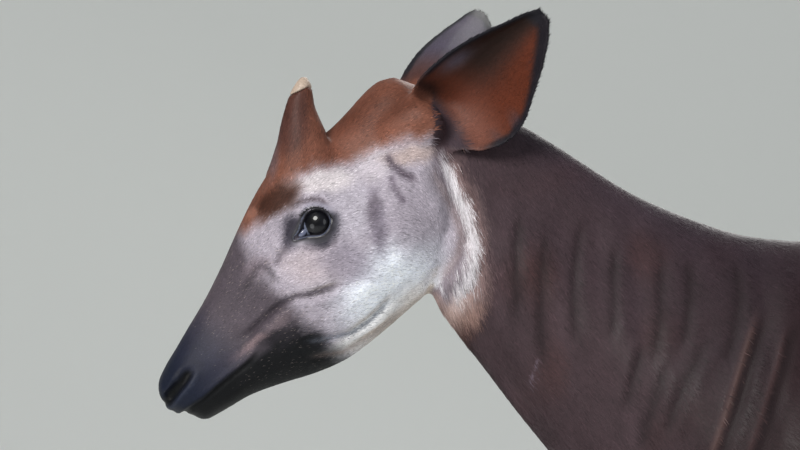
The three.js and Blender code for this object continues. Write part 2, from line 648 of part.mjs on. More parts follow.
const LEGS = {
  fore: { rows: FORELEG, joint: KNEE_HEIGHT, inner: 42 },
  hind: { rows: HINDLEG, joint: HOCK_HEIGHT, inner: 26 },
};
let torso = torsoWhole;
for (const [pair, { rows, joint, inner }] of Object.entries(LEGS)) {
  for (const [name, side] of Object.entries(SIDES)) {
    const stride = STRIDE[`${pair}_${name}`];
    const { front, back, across } = rows[0];
    const whole = leg(rows, side, stride);
    const limb = whole.add(torsoWhole).intersect(legPrism(LEG_CUTS[pair], side, inner, 0));
    torso = torso.add(whole).subtract(legPrism(LEG_CUTS[pair], side, inner, SEAM));
    const [upper, shank] = parted(largest(limb), { normal: [0, 0, 1], offset: joint });
    const cloven = shank.subtract(toeCleft(front + 50 + stride, side * across));
    const coronet = sidePlane([back + stride, CORONET_BACK], [front + stride, CORONET_FRONT]);
    const [lower, foot] = parted(cloven, coronet);
    const toes = foot.decompose().sort((p, q) => Math.abs(p.boundingBox().min[1] + p.boundingBox().max[1])
      - Math.abs(q.boundingBox().min[1] + q.boundingBox().max[1]));
    okapi.add(node(`${pair}leg_upper_${name}`, upper, COAT));
    okapi.add(node(`${pair}leg_lower_${name}`, lower, SOCK));
    okapi.add(node(`hoof_${pair}_${name}_inner`, toes[0], HOOF));
    okapi.add(node(`hoof_${pair}_${name}_outer`, toes[1], HOOF));
  }
}

for (const [name, side] of Object.entries(SIDES)) {
  const [stump, top] = parted(ossicone(side).subtract(bareHead), BARE_TIP);
  okapi.add(node(`ossicone_${name}`, stump, COAT));
  okapi.add(node(`ossicone_tip_${name}`, top, BARE_HORN));
  okapi.add(node(`ear_${name}`, ear(name, side).subtract(bareHead).subtract(grownTrunk), EAR_SKIN));
  okapi.add(node(`eye_${name}`, ball(eyeCentre(side), EYE_RADIUS), EYEBALL));
}
okapi.add(node('head', headHalf, FACE));
okapi.add(node('neck', neck, COAT));
okapi.add(node('torso', torso, COAT));
okapi.add(node('tail_dock', dock().subtract(grownTrunk), COAT));
okapi.add(node('tail_tuft', tuft(), TAIL_HAIR));

// The origin is on the floor under the middle of the whole animal
const bounds = new THREE.Box3().setFromObject(okapi);
okapi.position.set(-(bounds.min.x + bounds.max.x) / 2, -(bounds.min.y + bounds.max.y) / 2, -bounds.min.z);
const model = new THREE.Group();
model.add(okapi);

export default model;
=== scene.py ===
# %% [markdown]
# # A life-size okapi
# The animal stands on a pale studio floor with its head lowered, as at a feed rack. Its measured
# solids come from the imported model. This notebook gives them a living surface: one skin, a short
# coat that follows the lie of the hair, and eyes, hooves and a tail tuft in their own materials.

# %% Load the frame
import json
import math

import bpy
import numpy as np
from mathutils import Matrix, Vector
from mathutils.bvhtree import BVHTree

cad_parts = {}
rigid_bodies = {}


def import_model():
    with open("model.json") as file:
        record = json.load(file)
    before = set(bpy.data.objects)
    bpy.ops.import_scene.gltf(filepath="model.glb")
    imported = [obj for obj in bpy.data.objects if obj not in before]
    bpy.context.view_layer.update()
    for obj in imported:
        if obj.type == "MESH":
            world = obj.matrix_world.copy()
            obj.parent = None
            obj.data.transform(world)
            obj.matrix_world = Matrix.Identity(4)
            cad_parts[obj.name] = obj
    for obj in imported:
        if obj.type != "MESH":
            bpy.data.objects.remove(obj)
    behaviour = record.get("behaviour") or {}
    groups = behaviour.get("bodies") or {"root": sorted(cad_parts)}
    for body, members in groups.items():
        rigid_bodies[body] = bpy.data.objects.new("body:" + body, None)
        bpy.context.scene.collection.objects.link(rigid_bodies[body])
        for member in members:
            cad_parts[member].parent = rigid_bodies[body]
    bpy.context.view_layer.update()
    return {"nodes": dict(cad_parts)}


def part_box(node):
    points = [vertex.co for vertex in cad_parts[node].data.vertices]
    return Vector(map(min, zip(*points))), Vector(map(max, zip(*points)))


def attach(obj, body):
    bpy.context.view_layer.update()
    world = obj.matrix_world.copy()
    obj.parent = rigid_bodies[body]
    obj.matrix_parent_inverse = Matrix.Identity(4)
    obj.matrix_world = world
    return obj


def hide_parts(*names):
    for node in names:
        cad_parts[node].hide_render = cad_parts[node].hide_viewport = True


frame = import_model()
print("nodes:", len(frame["nodes"]))

# %% [markdown]
# ## Places on the animal
# Everything below is placed in the animal's own side view. X runs back from the nose, Z is the
# height and Y is the place across, in metres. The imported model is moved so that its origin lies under
# its middle. The eye is a good landmark to find that move again: its centre is known in both.

# %% Landmarks
EYE = Vector((-0.614, -0.0735, 1.5815))
low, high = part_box("eye_left")
SHIFT = np.array((low + high) / 2 - EYE)
PITCH = math.radians(43)
MUZZLE = np.array((-0.800, 0.0, 1.355))
BACKWARD = np.array((math.cos(PITCH), 0.0, math.sin(PITCH)))
DORSAL = np.array((-math.sin(PITCH), 0.0, math.cos(PITCH)))


def on_head(points):
    """Distance back from the muzzle and height on the head's own axis."""
    away = points - MUZZLE
    return away @ BACKWARD, away @ DORSAL


print("move of the model:", SHIFT.round(4))

# %% [markdown]
# ## One skin
# The flesh is parted into nodes by thin cuts. A voxel remesh melts them into one closed surface.
# A plain remesh has one grain everywhere, which is too fine for the back or too coarse for the lips.
# So the model is first swollen round the head, remeshed, and brought back to its size:
# the head keeps a fine grain and the body a coarse one, and the two meet without any seam.

# %% Flesh nodes and mesh helpers
KEEP_OWN = ("eye_", "hoof_", "ossicone_tip_", "tail_tuft")
FLESH = [name for name in frame["nodes"] if not name.startswith(KEEP_OWN)]


def arrays(mesh):
    """Corner points and triangles of a mesh."""
    mesh.calc_loop_triangles()
    points = np.empty(len(mesh.vertices) * 3)
    mesh.vertices.foreach_get("co", points)
    triangles = np.empty(len(mesh.loop_triangles) * 3, np.int32)
    mesh.loop_triangles.foreach_get("vertices", triangles)
    return points.reshape(-1, 3), triangles.reshape(-1, 3)


def make_mesh(name, points, faces):
    """A mesh of triangles or of quads."""
    mesh = bpy.data.meshes.new(name)
    faces = np.asarray(faces, np.int32)
    sides = faces.shape[1]
    mesh.vertices.add(len(points))
    mesh.vertices.foreach_set("co", np.asarray(points, np.float32).ravel())
    mesh.loops.add(faces.size)
    mesh.loops.foreach_set("vertex_index", faces.ravel())
    mesh.polygons.add(len(faces))
    mesh.polygons.foreach_set("loop_start", np.arange(0, faces.size, sides, dtype=np.int32))
    mesh.update(calc_edges=True)
    mesh.validate()
    return mesh


def welded(points, triangles, grain=2e-6):
    """The same surface with the doubled corners joined."""
    keys = np.round(points / grain).astype(np.int64)
    _, first, back = np.unique(keys, axis=0, return_index=True, return_inverse=True)
    joined = back.ravel()[triangles]
    a, b, c = joined.T
    whole = (a != b) & (b != c) & (c != a)
    return points[first], joined[whole]


def corner_normals(points, triangles):
    """Unit normal of each point, from the triangles round it."""
    across = np.cross(points[triangles[:, 1]] - points[triangles[:, 0]],
                      points[triangles[:, 2]] - points[triangles[:, 0]])
    normals = np.zeros_like(points)
    for corner in range(3):
        for axis in range(3):
            normals[:, axis] += np.bincount(triangles[:, corner], across[:, axis], len(points))
    return normals / np.maximum(np.linalg.norm(normals, axis=1, keepdims=True), 1e-12)


print("flesh nodes:", len(FLESH))

# %% [markdown]
# The nodes are swollen by less than a millimetre first, so that they melt across the cuts. One voxel
# is 7.5 mm, and the focus makes it 2.5 mm on the head.

# %% Melt the flesh nodes into one surface
SWELL = {"ear": 0.0011, "other": 0.0004}
FOCUS = np.array((-0.60, 0.0, 1.61))
FOCUS_REACH, FOCUS_FADE, FOCUS_GAIN = 0.36, 0.80, 3.0
VOXEL = 0.0075
reach = np.linspace(0, 4, 2000)
gain = np.where(reach < FOCUS_REACH, FOCUS_GAIN,
                1 + (FOCUS_GAIN - 1) * np.clip((FOCUS_FADE - reach) / (FOCUS_FADE - FOCUS_REACH), 0, 1))
swollen_reach = np.concatenate([[0], np.cumsum((gain[1:] + gain[:-1]) / 2 * np.diff(reach))])


def refocus(points, from_reach, to_reach):
    """Moves points along their lines from the focus, from one scale of distances to another."""
    away = points - FOCUS
    distance = np.maximum(np.linalg.norm(away, axis=1, keepdims=True), 1e-9)
    return FOCUS + away * np.interp(distance, from_reach, to_reach) / distance


all_points, all_triangles, count = [], [], 0
for name in FLESH:
    points, triangles = welded(*arrays(frame["nodes"][name].data))
    swell = SWELL["ear" if name.startswith("ear_") else "other"]
    points = points - SHIFT + corner_normals(points, triangles) * swell
    all_points.append(points)
    all_triangles.append(triangles + count)
    count += len(points)
melt = make_mesh("melt", refocus(np.vstack(all_points), reach, swollen_reach), np.vstack(all_triangles))
melting = bpy.data.objects.new("melt", melt)
bpy.context.collection.objects.link(melting)
remesh = melting.modifiers.new("voxels", "REMESH")
remesh.mode = "VOXEL"
remesh.voxel_size = VOXEL
evaluated = melting.evaluated_get(bpy.context.evaluated_depsgraph_get())
points, triangles = arrays(evaluated.to_mesh())
points = refocus(points, swollen_reach, reach)
evaluated.to_mesh_clear()
bpy.data.objects.remove(melting)
print("melted skin:", len(points), "points", len(triangles), "triangles")

# %% [markdown]
# ## From facets to flesh
# The solids are faceted and the melted skin still shows it. Plain smoothing pulls each point to the
# middle of its neighbours, so the facets go, but the body shrinks too. So the shrinkage is measured,
# spread out until no facet is left in it, and given back. The lids, nostrils and toes keep their
# shape, because the smoothing is weak there.

# %% Smoothing helpers
def ramp(value, start, end):
    """0 before start, 1 after end, smooth between."""
    t = np.clip((value - start) / (end - start), 0, 1)
    return t * t * (3 - 2 * t)


def near(points, centre, radius, fade):
    """1 within a radius of a place, and 0 past the fade."""
    return 1 - ramp(np.linalg.norm(points - np.array(centre), axis=1), radius, radius + fade)


def mirrored(points):
    """The same points, all on the left side."""
    return np.column_stack([points[:, 0], -np.abs(points[:, 1]), points[:, 2]])


def neighbours_of(triangles, count):
    """A table of each point's neighbours, filled up with the point itself."""
    links = np.vstack([triangles[:, [0, 1]], triangles[:, [1, 2]], triangles[:, [2, 0]]])
    links = np.unique(np.vstack([links, links[:, ::-1]]), axis=0)
    starts = np.searchsorted(links[:, 0], np.arange(count))
    rank = np.arange(len(links)) - starts[links[:, 0]]
    table = np.repeat(np.arange(count)[:, None], 8, axis=1)
    kept = rank < 8
    table[links[kept, 0], rank[kept]] = links[kept, 1]
    return table


def smoothed(values, table, steps, pull, rows=None):
    """Each value drawn to the middle of its neighbours, step by step, in all rows or in some."""
    values = values.astype(np.float32)
    rows = np.arange(len(values)) if rows is None else rows
    pull = np.asarray(pull, np.float32)
    around = table[rows]
    for step in range(steps):
        values[rows] += pull * (values[around].mean(axis=1) - values[rows])
    return values


def given_back(points, soft, steps, pull, rows=None):
    """Puts back the depth that smoothing took, spread out so that no facet is left in it."""
    normals = corner_normals(soft, triangles)
    lost = ((points - soft) * normals).sum(axis=1)
    return soft + normals * smoothed(lost, table, steps, pull, rows)[:, None]


def upper_ear(points):
    """1 in the free part of an ear, 0 on the head."""
    return ramp(points[:, 2], 1.735, 1.775) * ramp(points[:, 0], -0.53, -0.50)


table = neighbours_of(triangles, len(points))
print("neighbour table:", table.shape)

# %% [markdown]
# The trunk is smoothed far more than the head, and the thin ears, shanks and horn tips less. At the end
# the root of each ear is softened by itself, as the skin runs from the crown into the ear in one sweep.

# %% Smooth the skin
PULL = 0.66
folded = mirrored(points)
back, height = on_head(points)
nostril_place = MUZZLE + 0.022 * BACKWARD + 0.012 * DORSAL + (0, -0.036, 0)
fine = np.maximum.reduce([
    near(folded, EYE, 0.028, 0.010),
    0.6 * near(folded, nostril_place, 0.024, 0.014),
    (1 - ramp(np.abs(height + 0.026), 0.004, 0.012)) * (1 - ramp(back, 0.030, 0.060)),
])
ears = upper_ear(points)
shanks = 1 - ramp(points[:, 2], 0.55, 0.85)
tips = ramp(points[:, 2], 1.725, 1.745) * (1 - ramp(points[:, 0], -0.62, -0.60))

far_off = ramp(np.linalg.norm(points - FOCUS, axis=1), 0.34, 0.60) * (1 - 0.93 * shanks)
trunk_rows = np.flatnonzero(far_off > 0.02)
trunk_pull = PULL * far_off[trunk_rows]
soft = smoothed(points, table, 110, trunk_pull[:, None], trunk_rows)
points = given_back(points, soft, steps=100, pull=trunk_pull, rows=trunk_rows)

pull = PULL * (1 - 0.95 * fine) * (1 - 0.75 * ears) * (1 - 0.80 * shanks) * (1 - 0.8 * tips)
soft = smoothed(points, table, 30, pull[:, None])
points = given_back(points, soft, steps=26, pull=0.7)

ear_root = near(folded, (-0.482, -0.050, 1.702), 0.036, 0.045) * (1 - ears)
root_rows = np.flatnonzero(ear_root > 0.02)
points = smoothed(points, table, 70, 0.6 * ear_root[root_rows][:, None], root_rows)
print("smoothed", len(points), "points,", len(trunk_rows), "of them on the trunk")

# %% [markdown]
# ## Folds and muscles
# A sculptor pulls creases with a brush along a line. Here each line is drawn in the side view, and
# the skin sinks along it, with a soft ridge beside it where loose skin is pushed up. The lines work on
# both sides of the animal, and only where the skin faces sideways. Broad swellings give it its
# cheekbones, shoulder blades, ribs and thighs.

# %% Paths and ripples
def path_field(points, path, margin=0.06):
    """Distance to a path of the side view, signed by its side, and the place along it from 0 to 1."""
    path = np.array(path) / 1000
    distance = np.full(len(points), 9.0)
    side = np.ones(len(points))
    place = np.zeros(len(points))
    flat = points[:, [0, 2]]
    close = np.flatnonzero((flat > path.min(axis=0) - margin).all(axis=1)
                           & (flat < path.max(axis=0) + margin).all(axis=1))
    steps = np.diff(path, axis=0)
    lengths = np.linalg.norm(steps, axis=1)
    begun = np.concatenate([[0], np.cumsum(lengths)])
    for start, step, length, before_it in zip(path[:-1], steps, lengths, begun):
        away = flat[close] - start
        t = np.clip(away @ step / length ** 2, 0, 1)
        gap = np.linalg.norm(away - t[:, None] * step, axis=1)
        nearer = gap < distance[close]
        turned = np.sign(step[0] * away[:, 1] - step[1] * away[:, 0])
        chosen = close[nearer]
        distance[chosen] = gap[nearer]
        side[chosen] = np.where(turned[nearer] == 0, 1, turned[nearer])
        place[chosen] = ((before_it + t * length) / begun[-1])[nearer]
    return distance * side, place


def ripple(points, size, seed):
    """A smooth random field of about -1 to 1 with waves of this size."""
    rng = np.random.default_rng(seed)
    total = np.zeros(len(points))
    for wave in range(6):
        way = rng.normal(size=3)
        way *= 2 * math.pi / (size * rng.uniform(0.7, 1.6)) / np.linalg.norm(way)
        total += np.sin(points @ way + rng.uniform(0, 2 * math.pi))
    return total / 3.5


def bell(distance, width):
    return np.exp(-(distance / width) ** 2)


def oval(points, middle, reach, turn):
    """Places along and across an oval of the side view, in parts of its reach."""
    away = points[:, [0, 2]] * 1000 - middle
    c, s = math.cos(math.radians(turn)), math.sin(math.radians(turn))
    return (away[:, 0] * c + away[:, 1] * s) / reach[0], (away[:, 1] * c - away[:, 0] * s) / reach[1]


wave = ripple(points, 0.036, 71)
print("a ripple runs from", wave.min().round(2), "to", wave.max().round(2))

# %% [markdown]
# ### Folds
# Each fold has its path in the side view in mm, and the depth and width of its groove. Some have a ridge
# too, with its height, its place beside the path and its width. A place above zero lies on the left of
# the path as it is drawn, and a depth below zero raises the skin. The folds of the cheek, jaw and neck are
# the ones that the picture shows. Those of the shoulder, flank and thigh come from the species.

# %% Folds of the skin
OPENINGS = ("mouth", "nostril", "lower lip")
FOLDS = [
    ("cheek fold", [(-721, 1431), (-704, 1442), (-688, 1458), (-672, 1472), (-657, 1482), (-644, 1490),
                    (-625, 1491), (-599, 1499), (-577, 1508)], 5.0, 4.5, 3.2, -12, 8),
    ("cheek overhang", [(-721, 1431), (-704, 1442), (-688, 1458), (-672, 1472), (-650, 1488)],
     0.0, 4.0, 3.0, 9, 8),
    ("jaw crease", [(-640, 1431), (-620, 1433), (-599, 1436), (-573, 1442), (-553, 1455), (-534, 1474),
                    (-521, 1492)], 3.4, 4.5, 2.6, -11, 7),
    ("chin crease", [(-640, 1409), (-617, 1413), (-586, 1417), (-554, 1435), (-522, 1458),
                     (-499, 1479)], 2.4, 4.5, 1.4, -10, 7),
    ("nose vein", [(-717, 1488), (-708, 1500), (-694, 1525), (-685, 1528), (-676, 1519), (-664, 1501)],
     -1.3, 5.0, -1.0, -10, 8),
    ("temple crease", [(-531, 1673), (-522, 1656), (-506, 1643), (-488, 1636)], 2.6, 5.0, 1.5, -10, 7),
    ("temple branch", [(-524, 1647), (-521, 1630), (-512, 1615), (-502, 1604)], 1.8, 4.0, 1.0, 9, 6),
    ("jaw edge", [(-476, 1662), (-468, 1646), (-460, 1629), (-449, 1609), (-438, 1584), (-433, 1564),
                  (-438, 1543), (-452, 1522), (-471, 1500)], 3.5, 9.0, 2.0, -18, 9),
    ("neck band", [(-438, 1656), (-420, 1624), (-410, 1582), (-406, 1538), (-416, 1506), (-438, 1483)],
     1.5, 6.0, 2.0, -12, 10),
    ("mouth", [(-822, 1312), (-800, 1330), (-794, 1333), (-784, 1341), (-760, 1356), (-742, 1372),
               (-728, 1384), (-704, 1403), (-691, 1419), (-684, 1427)], 4.0, 2.6, 2.4, 6, 5),
    ("lower lip", [(-822, 1312), (-800, 1330), (-760, 1356), (-728, 1384), (-704, 1403)],
     0.0, 2.6, -2.4, -9, 8),
    ("mouth corner", [(-706, 1402), (-696, 1412), (-686, 1428), (-680, 1440)], -2.2, 9.0),
    ("nostril", [(-808, 1355), (-803, 1362), (-796, 1371), (-788, 1380), (-782, 1389), (-780, 1398)],
     6.8, 4.6, 2.8, -9, 3.6),
    ("nostril wing", [(-806, 1376), (-796, 1388), (-786, 1402)], -2.4, 7.0),
    ("brow crease", [(-653, 1598), (-640, 1607), (-625, 1612), (-612, 1611), (-600, 1604)],
     2.6, 3.2, 2.2, 8, 6),
    ("under-eye crease", [(-640, 1552), (-626, 1548), (-610, 1549), (-594, 1556), (-584, 1566)],
     1.6, 3.0, 1.2, -7, 5),
    ("tear groove", [(-652, 1556), (-664, 1540), (-672, 1524)], 2.0, 5.0),
    ("neck fold 1", [(-362, 1600), (-366, 1547), (-365, 1490), (-370, 1450)], 1.2, 6.0, 0.5, 14, 8),
    ("neck fold 2", [(-280, 1596), (-291, 1534), (-294, 1490), (-291, 1420)], 1.4, 6.5, 0.6, 15, 9),
    ("neck fold 3", [(-239, 1560), (-243, 1509), (-242, 1470), (-246, 1430)], 1.2, 6.0, 0.5, 14, 8),
    ("neck fold 4", [(-181, 1548), (-184, 1490), (-187, 1442), (-196, 1396)], 1.3, 7.0, 0.6, 16, 9),
    ("neck fold 5", [(-146, 1540), (-146, 1502), (-150, 1458), (-158, 1420)], 1.1, 6.5, 0.5, 15, 9),
    ("neck fold 6", [(-206, 1434), (-221, 1381), (-228, 1345)], 1.3, 5.5, 1.0, -11, 6),
    ("neck fold 7", [(-60, 1480), (-67, 1452), (-79, 1419), (-100, 1355), (-119, 1301), (-130, 1262)],
     -3.6, 5.0, -3.6, 12, 6.5),
    ("neck fold 8", [(-24, 1461), (-38, 1406), (-57, 1349), (-74, 1301), (-84, 1262)],
     -2.6, 5.0, -2.8, 11, 6.5),
    ("neck fold 9", [(-86, 1540), (-83, 1490), (-93, 1436), (-106, 1400)], 1.3, 7.5, 0.5, 16, 9),
    ("neck fold 10", [(-177, 1410), (-189, 1368), (-204, 1326), (-214, 1290)], 1.3, 6.0, 1.0, 13, 7),
    ("neck fold 11", [(-127, 1436), (-147, 1394), (-166, 1355), (-180, 1310)], 1.4, 7.0, 1.0, 14, 8),
    ("neck fold 12", [(-328, 1590), (-333, 1520), (-336, 1450), (-330, 1390)], 0.9, 6.0, 0.4, 14, 9),
    ("neck scratch", [(-336, 1415), (-343, 1392), (-350, 1372)], 0.3, 1.5),
    ("throat groove", [(-440, 1478), (-400, 1420), (-350, 1340), (-300, 1262)], 2.5, 14),
    ("blade edge", [(40, 1545), (10, 1440), (-40, 1320), (-98, 1190)], 5.0, 22, 4.0, -40, 30),
    ("blade ridge", [(92, 1530), (60, 1420), (10, 1300), (-40, 1200)], -4.5, 24),
    ("arm groove", [(190, 1330), (160, 1210), (150, 1100), (160, 1000)], 6.0, 26),
    ("flank fold", [(690, 1010), (660, 1090), (668, 1180), (700, 1250)], 6.0, 26, 4.0, -46, 30),
    ("stifle fold", [(696, 930), (704, 985), (690, 1050)], 5.0, 20),
    ("thigh groove", [(930, 1330), (940, 1210), (932, 1080), (920, 960), (916, 860)],
     3.0, 30, 2.0, -46, 34),
    ("thigh front groove", [(800, 1250), (790, 1120), (800, 1000), (826, 880)], 2.5, 34),
    ("hock hollow", [(958, 760), (962, 700), (964, 640)], 6.0, 15),
]


def fold_depth(points, sideways):
    """How far each point of the skin rises (+) or sinks (-) for all the folds, in metres."""
    total = np.zeros(len(points))
    for number, (name, path, depth, width, *ridge) in enumerate(FOLDS):
        offset, place = path_field(points, path, 0.11)
        offset = offset * 1000
        line = -depth * bell(offset, width)
        if ridge:
            height, beside, breadth = ridge
            line += height * bell(offset - beside, breadth)
        end = 1 - ramp(place, 0.84, 1)
        if name in OPENINGS:
            total += line * end
        else:
            living = 0.82 + 0.22 * np.sin(place * 8.3 + number) + 0.12 * np.sin(place * 19 + number)
            total += line * (ramp(place, 0, 0.18) * end) * living * sideways
    return total / 1000


print("folds:", len(FOLDS))

# %% [markdown]
# ### Muscles, ribs and wrinkles
# Broad forms are ovals of the side view, each with its middle, its reach along and across, the turn
# of its long way in degrees and its height, all in mm. Loose skin on the neck falls into many small
# folds that no one draws singly, so a slow ripple, drawn out downwards, makes them.

# %% Broad forms
FORMS = [
    ("hip bone", (742, 1418), (60, 26), 35, 9),
    ("pin bone", (1034, 1330), (34, 26), -50, 6),
    ("flank hollow", (668, 1340), (70, 50), 20, -9),
    ("shoulder point", (-104, 1168), (52, 40), 40, 7),
    ("arm muscle", (104, 1130), (48, 92), 8, 6),
    ("elbow", (132, 968), (30, 26), 0, 7),
    ("stifle", (716, 962), (44, 40), 0, 8),
    ("thigh muscle", (880, 1150), (70, 120), 0, 6),
    ("belly curve", (420, 1010), (230, 70), 0, 5),
    ("cheek muscle", (-515, 1560), (34, 52), -25, 3),
    ("eye socket", (-614, 1581), (40, 34), 0, 1.5),
]


def form_height(points, sideways):
    """How far the broad forms raise the skin, in metres."""
    total = np.zeros(len(points))
    for name, middle, reach, turn, rise in FORMS:
        along, across = oval(points, middle, reach, turn)
        total += rise * np.exp(-(along ** 2 + across ** 2))
    return total / 1000 * sideways


def wrinkles(points):
    """Soft, irregular folds of loose skin, drawn out from the mane down to the throat."""
    x, z = points[:, 0], points[:, 2]
    inside = ramp(x, -0.42, -0.36) * (1 - ramp(x, -0.02, 0.10))
    inside = inside * (1 - ramp(z, 1.56, 1.64)) * ramp(z, 1.16, 1.26)
    lean = np.column_stack([x + 0.10 * (z - 1.4), 0.3 * points[:, 1], 0.16 * z])
    wave = ripple(lean, 0.036, 71)
    return 0.0009 * inside * np.where(wave > 0, wave, 1.3 * wave)


def ribs(points):
    """Faint ribs on the flank."""
    x, z = points[:, 0], points[:, 2]
    lean = x + 0.35 * (z - 1.2)
    inside = ramp(x, 0.20, 0.30) * (1 - ramp(x, 0.56, 0.66)) * ramp(z, 1.0, 1.12) * (1 - ramp(z, 1.32, 1.42))
    return 0.0005 * np.cos(lean * 2 * math.pi / 0.052) * inside


print("broad forms:", len(FORMS))

# %% [markdown]
# All of it is added up into one height for each point, evened out a little, and the point moves that
# far along its normal. A groove as deep as a nostril leaves its walls rough, so they are smoothed again.

# %% Raise and sink the skin
normals = corner_normals(points, triangles)
sideways = ramp(np.abs(normals[:, 1]), 0.18, 0.62)
off_ears = 1 - ears * ramp(points[:, 2], 1.72, 1.74)
rise = fold_depth(points, sideways * off_ears) + form_height(points, sideways * off_ears)
rise += (ribs(points) + wrinkles(points)) * sideways
points = points + normals * smoothed(rise, table, 2, 0.5)[:, None]
nostrils = near(mirrored(points), nostril_place, 0.030, 0.012)
nostril_rows = np.flatnonzero(nostrils > 0.02)
points = smoothed(points, table, 7, 0.55 * nostrils[nostril_rows][:, None], nostril_rows)
print("deepest fold", (rise.min() * 1000).round(1), "mm, highest form", (rise.max() * 1000).round(1), "mm")

# %% [markdown]
# ## Room for the coat
# The solids reach out to the tips of the hair, so the skin lies inside them by the coat's depth.
# Then the flat parts of the skin give up most of their triangles and the folds keep theirs.

# %% Sink and trim the skin
SKIN_TRIANGLES = 190_000


def coat_depth(points):
    """Depth of the coat in metres: thin on the face, ears and feet, thicker on the body."""
    x, z = points[:, 0], points[:, 2]
    depth = 0.0008 + 0.0010 * ramp(x, -0.47, -0.38) + 0.0010 * ramp(x, -0.15, 0.10)
    depth = np.where(z < 0.85, 0.0012 + (depth - 0.0012) * ramp(z, 0.55, 0.85), depth)
    return depth + (0.0005 - depth) * upper_ear(points)


points = points - corner_normals(points, triangles) * coat_depth(points)[:, None]
trimming = bpy.data.objects.new("trimming", make_mesh("trimming", points, triangles))
bpy.context.collection.objects.link(trimming)
trim = trimming.modifiers.new("trim", "DECIMATE")
trim.ratio = SKIN_TRIANGLES / len(triangles)
evaluated = trimming.evaluated_get(bpy.context.evaluated_depsgraph_get())
skin_points, skin_triangles = arrays(evaluated.to_mesh())
evaluated.to_mesh_clear()
bpy.data.objects.remove(trimming)
skin_normals = corner_normals(skin_points, skin_triangles)
skin_tree = BVHTree.FromPolygons([tuple(p) for p in skin_points], [tuple(t) for t in skin_triangles.tolist()])
print("trimmed skin:", len(skin_triangles), "triangles")

# %% [markdown]
# ## Markings
# One function of place gives the colour of the skin and of every hair that grows there, so that
# the two always agree. Large fields come first, then soft marks, then lines along the folds. A slow
# ripple bends every edge, as no animal is marked with a ruler.

# %% Painting helpers
def linear(colour):
    """Light values of display colours."""
    colour = np.asarray(colour, float)
    return np.where(colour <= 0.04045, colour / 12.92, ((colour + 0.055) / 1.055) ** 2.4)


def paint(base, colour, mask):
    """Lays a colour over a base where the mask is above zero."""
    mask = np.clip(mask, 0, 1)[:, None]
    return base * (1 - mask) + np.asarray(colour) * mask


def mark(points, middle, reach, turn):
    """A soft oval in the side view."""
    return 1 - ramp(np.hypot(*oval(points, middle, reach, turn)), 0.45, 1.35)


def marked(colour, points, marks):
    """Paints a list of soft ovals, one over the other."""
    for name, middle, reach, turn, tone, strength in marks:
        colour = paint(colour, tone, strength * mark(points, middle, reach, turn))
    return colour


def beyond(points, path, soft):
    """1 on the left of a line of the side view as it is drawn, 0 on its right."""
    offset, place = path_field(points, path, 0.5)
    return ramp(offset * 1000, -soft, soft)


NECK_BROWN = (0.225, 0.172, 0.188)
BODY_BROWN = (0.185, 0.115, 0.112)
RUSSET = (0.435, 0.265, 0.205)
CHEEK = (0.63, 0.60, 0.64)
NOSE = (0.27, 0.24, 0.265)
print("neck and body:", NECK_BROWN, BODY_BROWN)

# %% [markdown]
# ### Head
# The face is nearly white, with grey shades on the cheek, a dark grey nose that blends into it, a black
# chin and a russet crown. Lines of the side view part these fields. Between them lie soft marks, each
# with its middle and reach in mm, its turn in degrees, its colour and its strength.

# %% Markings of the head
CROWN_LINE = [(-722, 1571), (-702, 1574), (-686, 1588), (-662, 1622), (-640, 1646), (-602, 1655),
              (-573, 1659), (-557, 1671), (-538, 1682), (-490, 1690), (-455, 1702)]
NOSE_LINE = [(-724, 1571), (-705, 1545), (-692, 1512), (-662, 1490), (-640, 1466), (-628, 1436), (-616, 1420)]
LIP_LINE = [(-822, 1312), (-760, 1356), (-728, 1384), (-690, 1416), (-655, 1430)]
JAW_LINE = [(-470, 1690), (-468, 1646), (-454, 1620), (-440, 1590), (-434, 1564), (-438, 1543), (-452, 1519),
            (-470, 1494), (-500, 1430), (-520, 1380)]
BAND_LINE = [(-452, 1700), (-438, 1662), (-420, 1628), (-408, 1582), (-399, 1530), (-405, 1485), (-424, 1440),
             (-440, 1420)]

MARKS = [
    ("white cheek", (-525, 1502), (80, 50), 40, (0.94, 0.96, 1.00), 0.95),
    ("white jaw", (-545, 1450), (100, 18), 37, (0.96, 0.95, 0.95), 0.88),
    ("warm cheek", (-621, 1528), (44, 26), 0, (0.70, 0.65, 0.67), 0.80),
    ("grey cheek", (-580, 1530), (40, 26), -20, (0.55, 0.52, 0.57), 0.70),
    ("rear cheek", (-497, 1592), (34, 56), 0, (0.58, 0.55, 0.59), 0.75),
    ("temple grey", (-575, 1600), (36, 40), 0, (0.69, 0.67, 0.71), 0.60),
    ("smudge", (-541, 1579), (50, 12), 99, (0.35, 0.32, 0.37), 0.62),
    ("upper smudge", (-548, 1600), (22, 9), 80, (0.32, 0.28, 0.32), 0.45),
    ("cream brow", (-606, 1634), (40, 15), 8, (0.80, 0.77, 0.78), 0.90),
    ("cream temple", (-545, 1654), (28, 20), 42, (0.70, 0.67, 0.70), 0.90),
    ("cream ear root", (-497, 1668), (40, 13), 8, (0.68, 0.60, 0.57), 0.70),
]
# Painted after the dark nose
NOSE_MARKS = [
    ("nose light", (-694, 1524), (20, 12), 40, (0.48, 0.43, 0.46), 0.60),
    ("dark jaw", (-655, 1436), (38, 17), 12, (0.11, 0.10, 0.12), 0.92),
    ("dark jaw tip", (-620, 1428), (20, 10), 10, (0.14, 0.12, 0.14), 0.78),
    # Painted highlights: the lit skin below and above the cheek fold
    ("lower fold ridge highlight", (-704, 1424), (34, 5.5), 33, (0.52, 0.44, 0.45), 0.70),
    ("rear lower fold ridge highlight", (-668, 1455), (22, 6), 35, (0.50, 0.44, 0.46), 0.60),
    ("upper fold ridge highlight", (-625, 1500), (40, 5), 12, (0.74, 0.70, 0.73), 0.55),
]
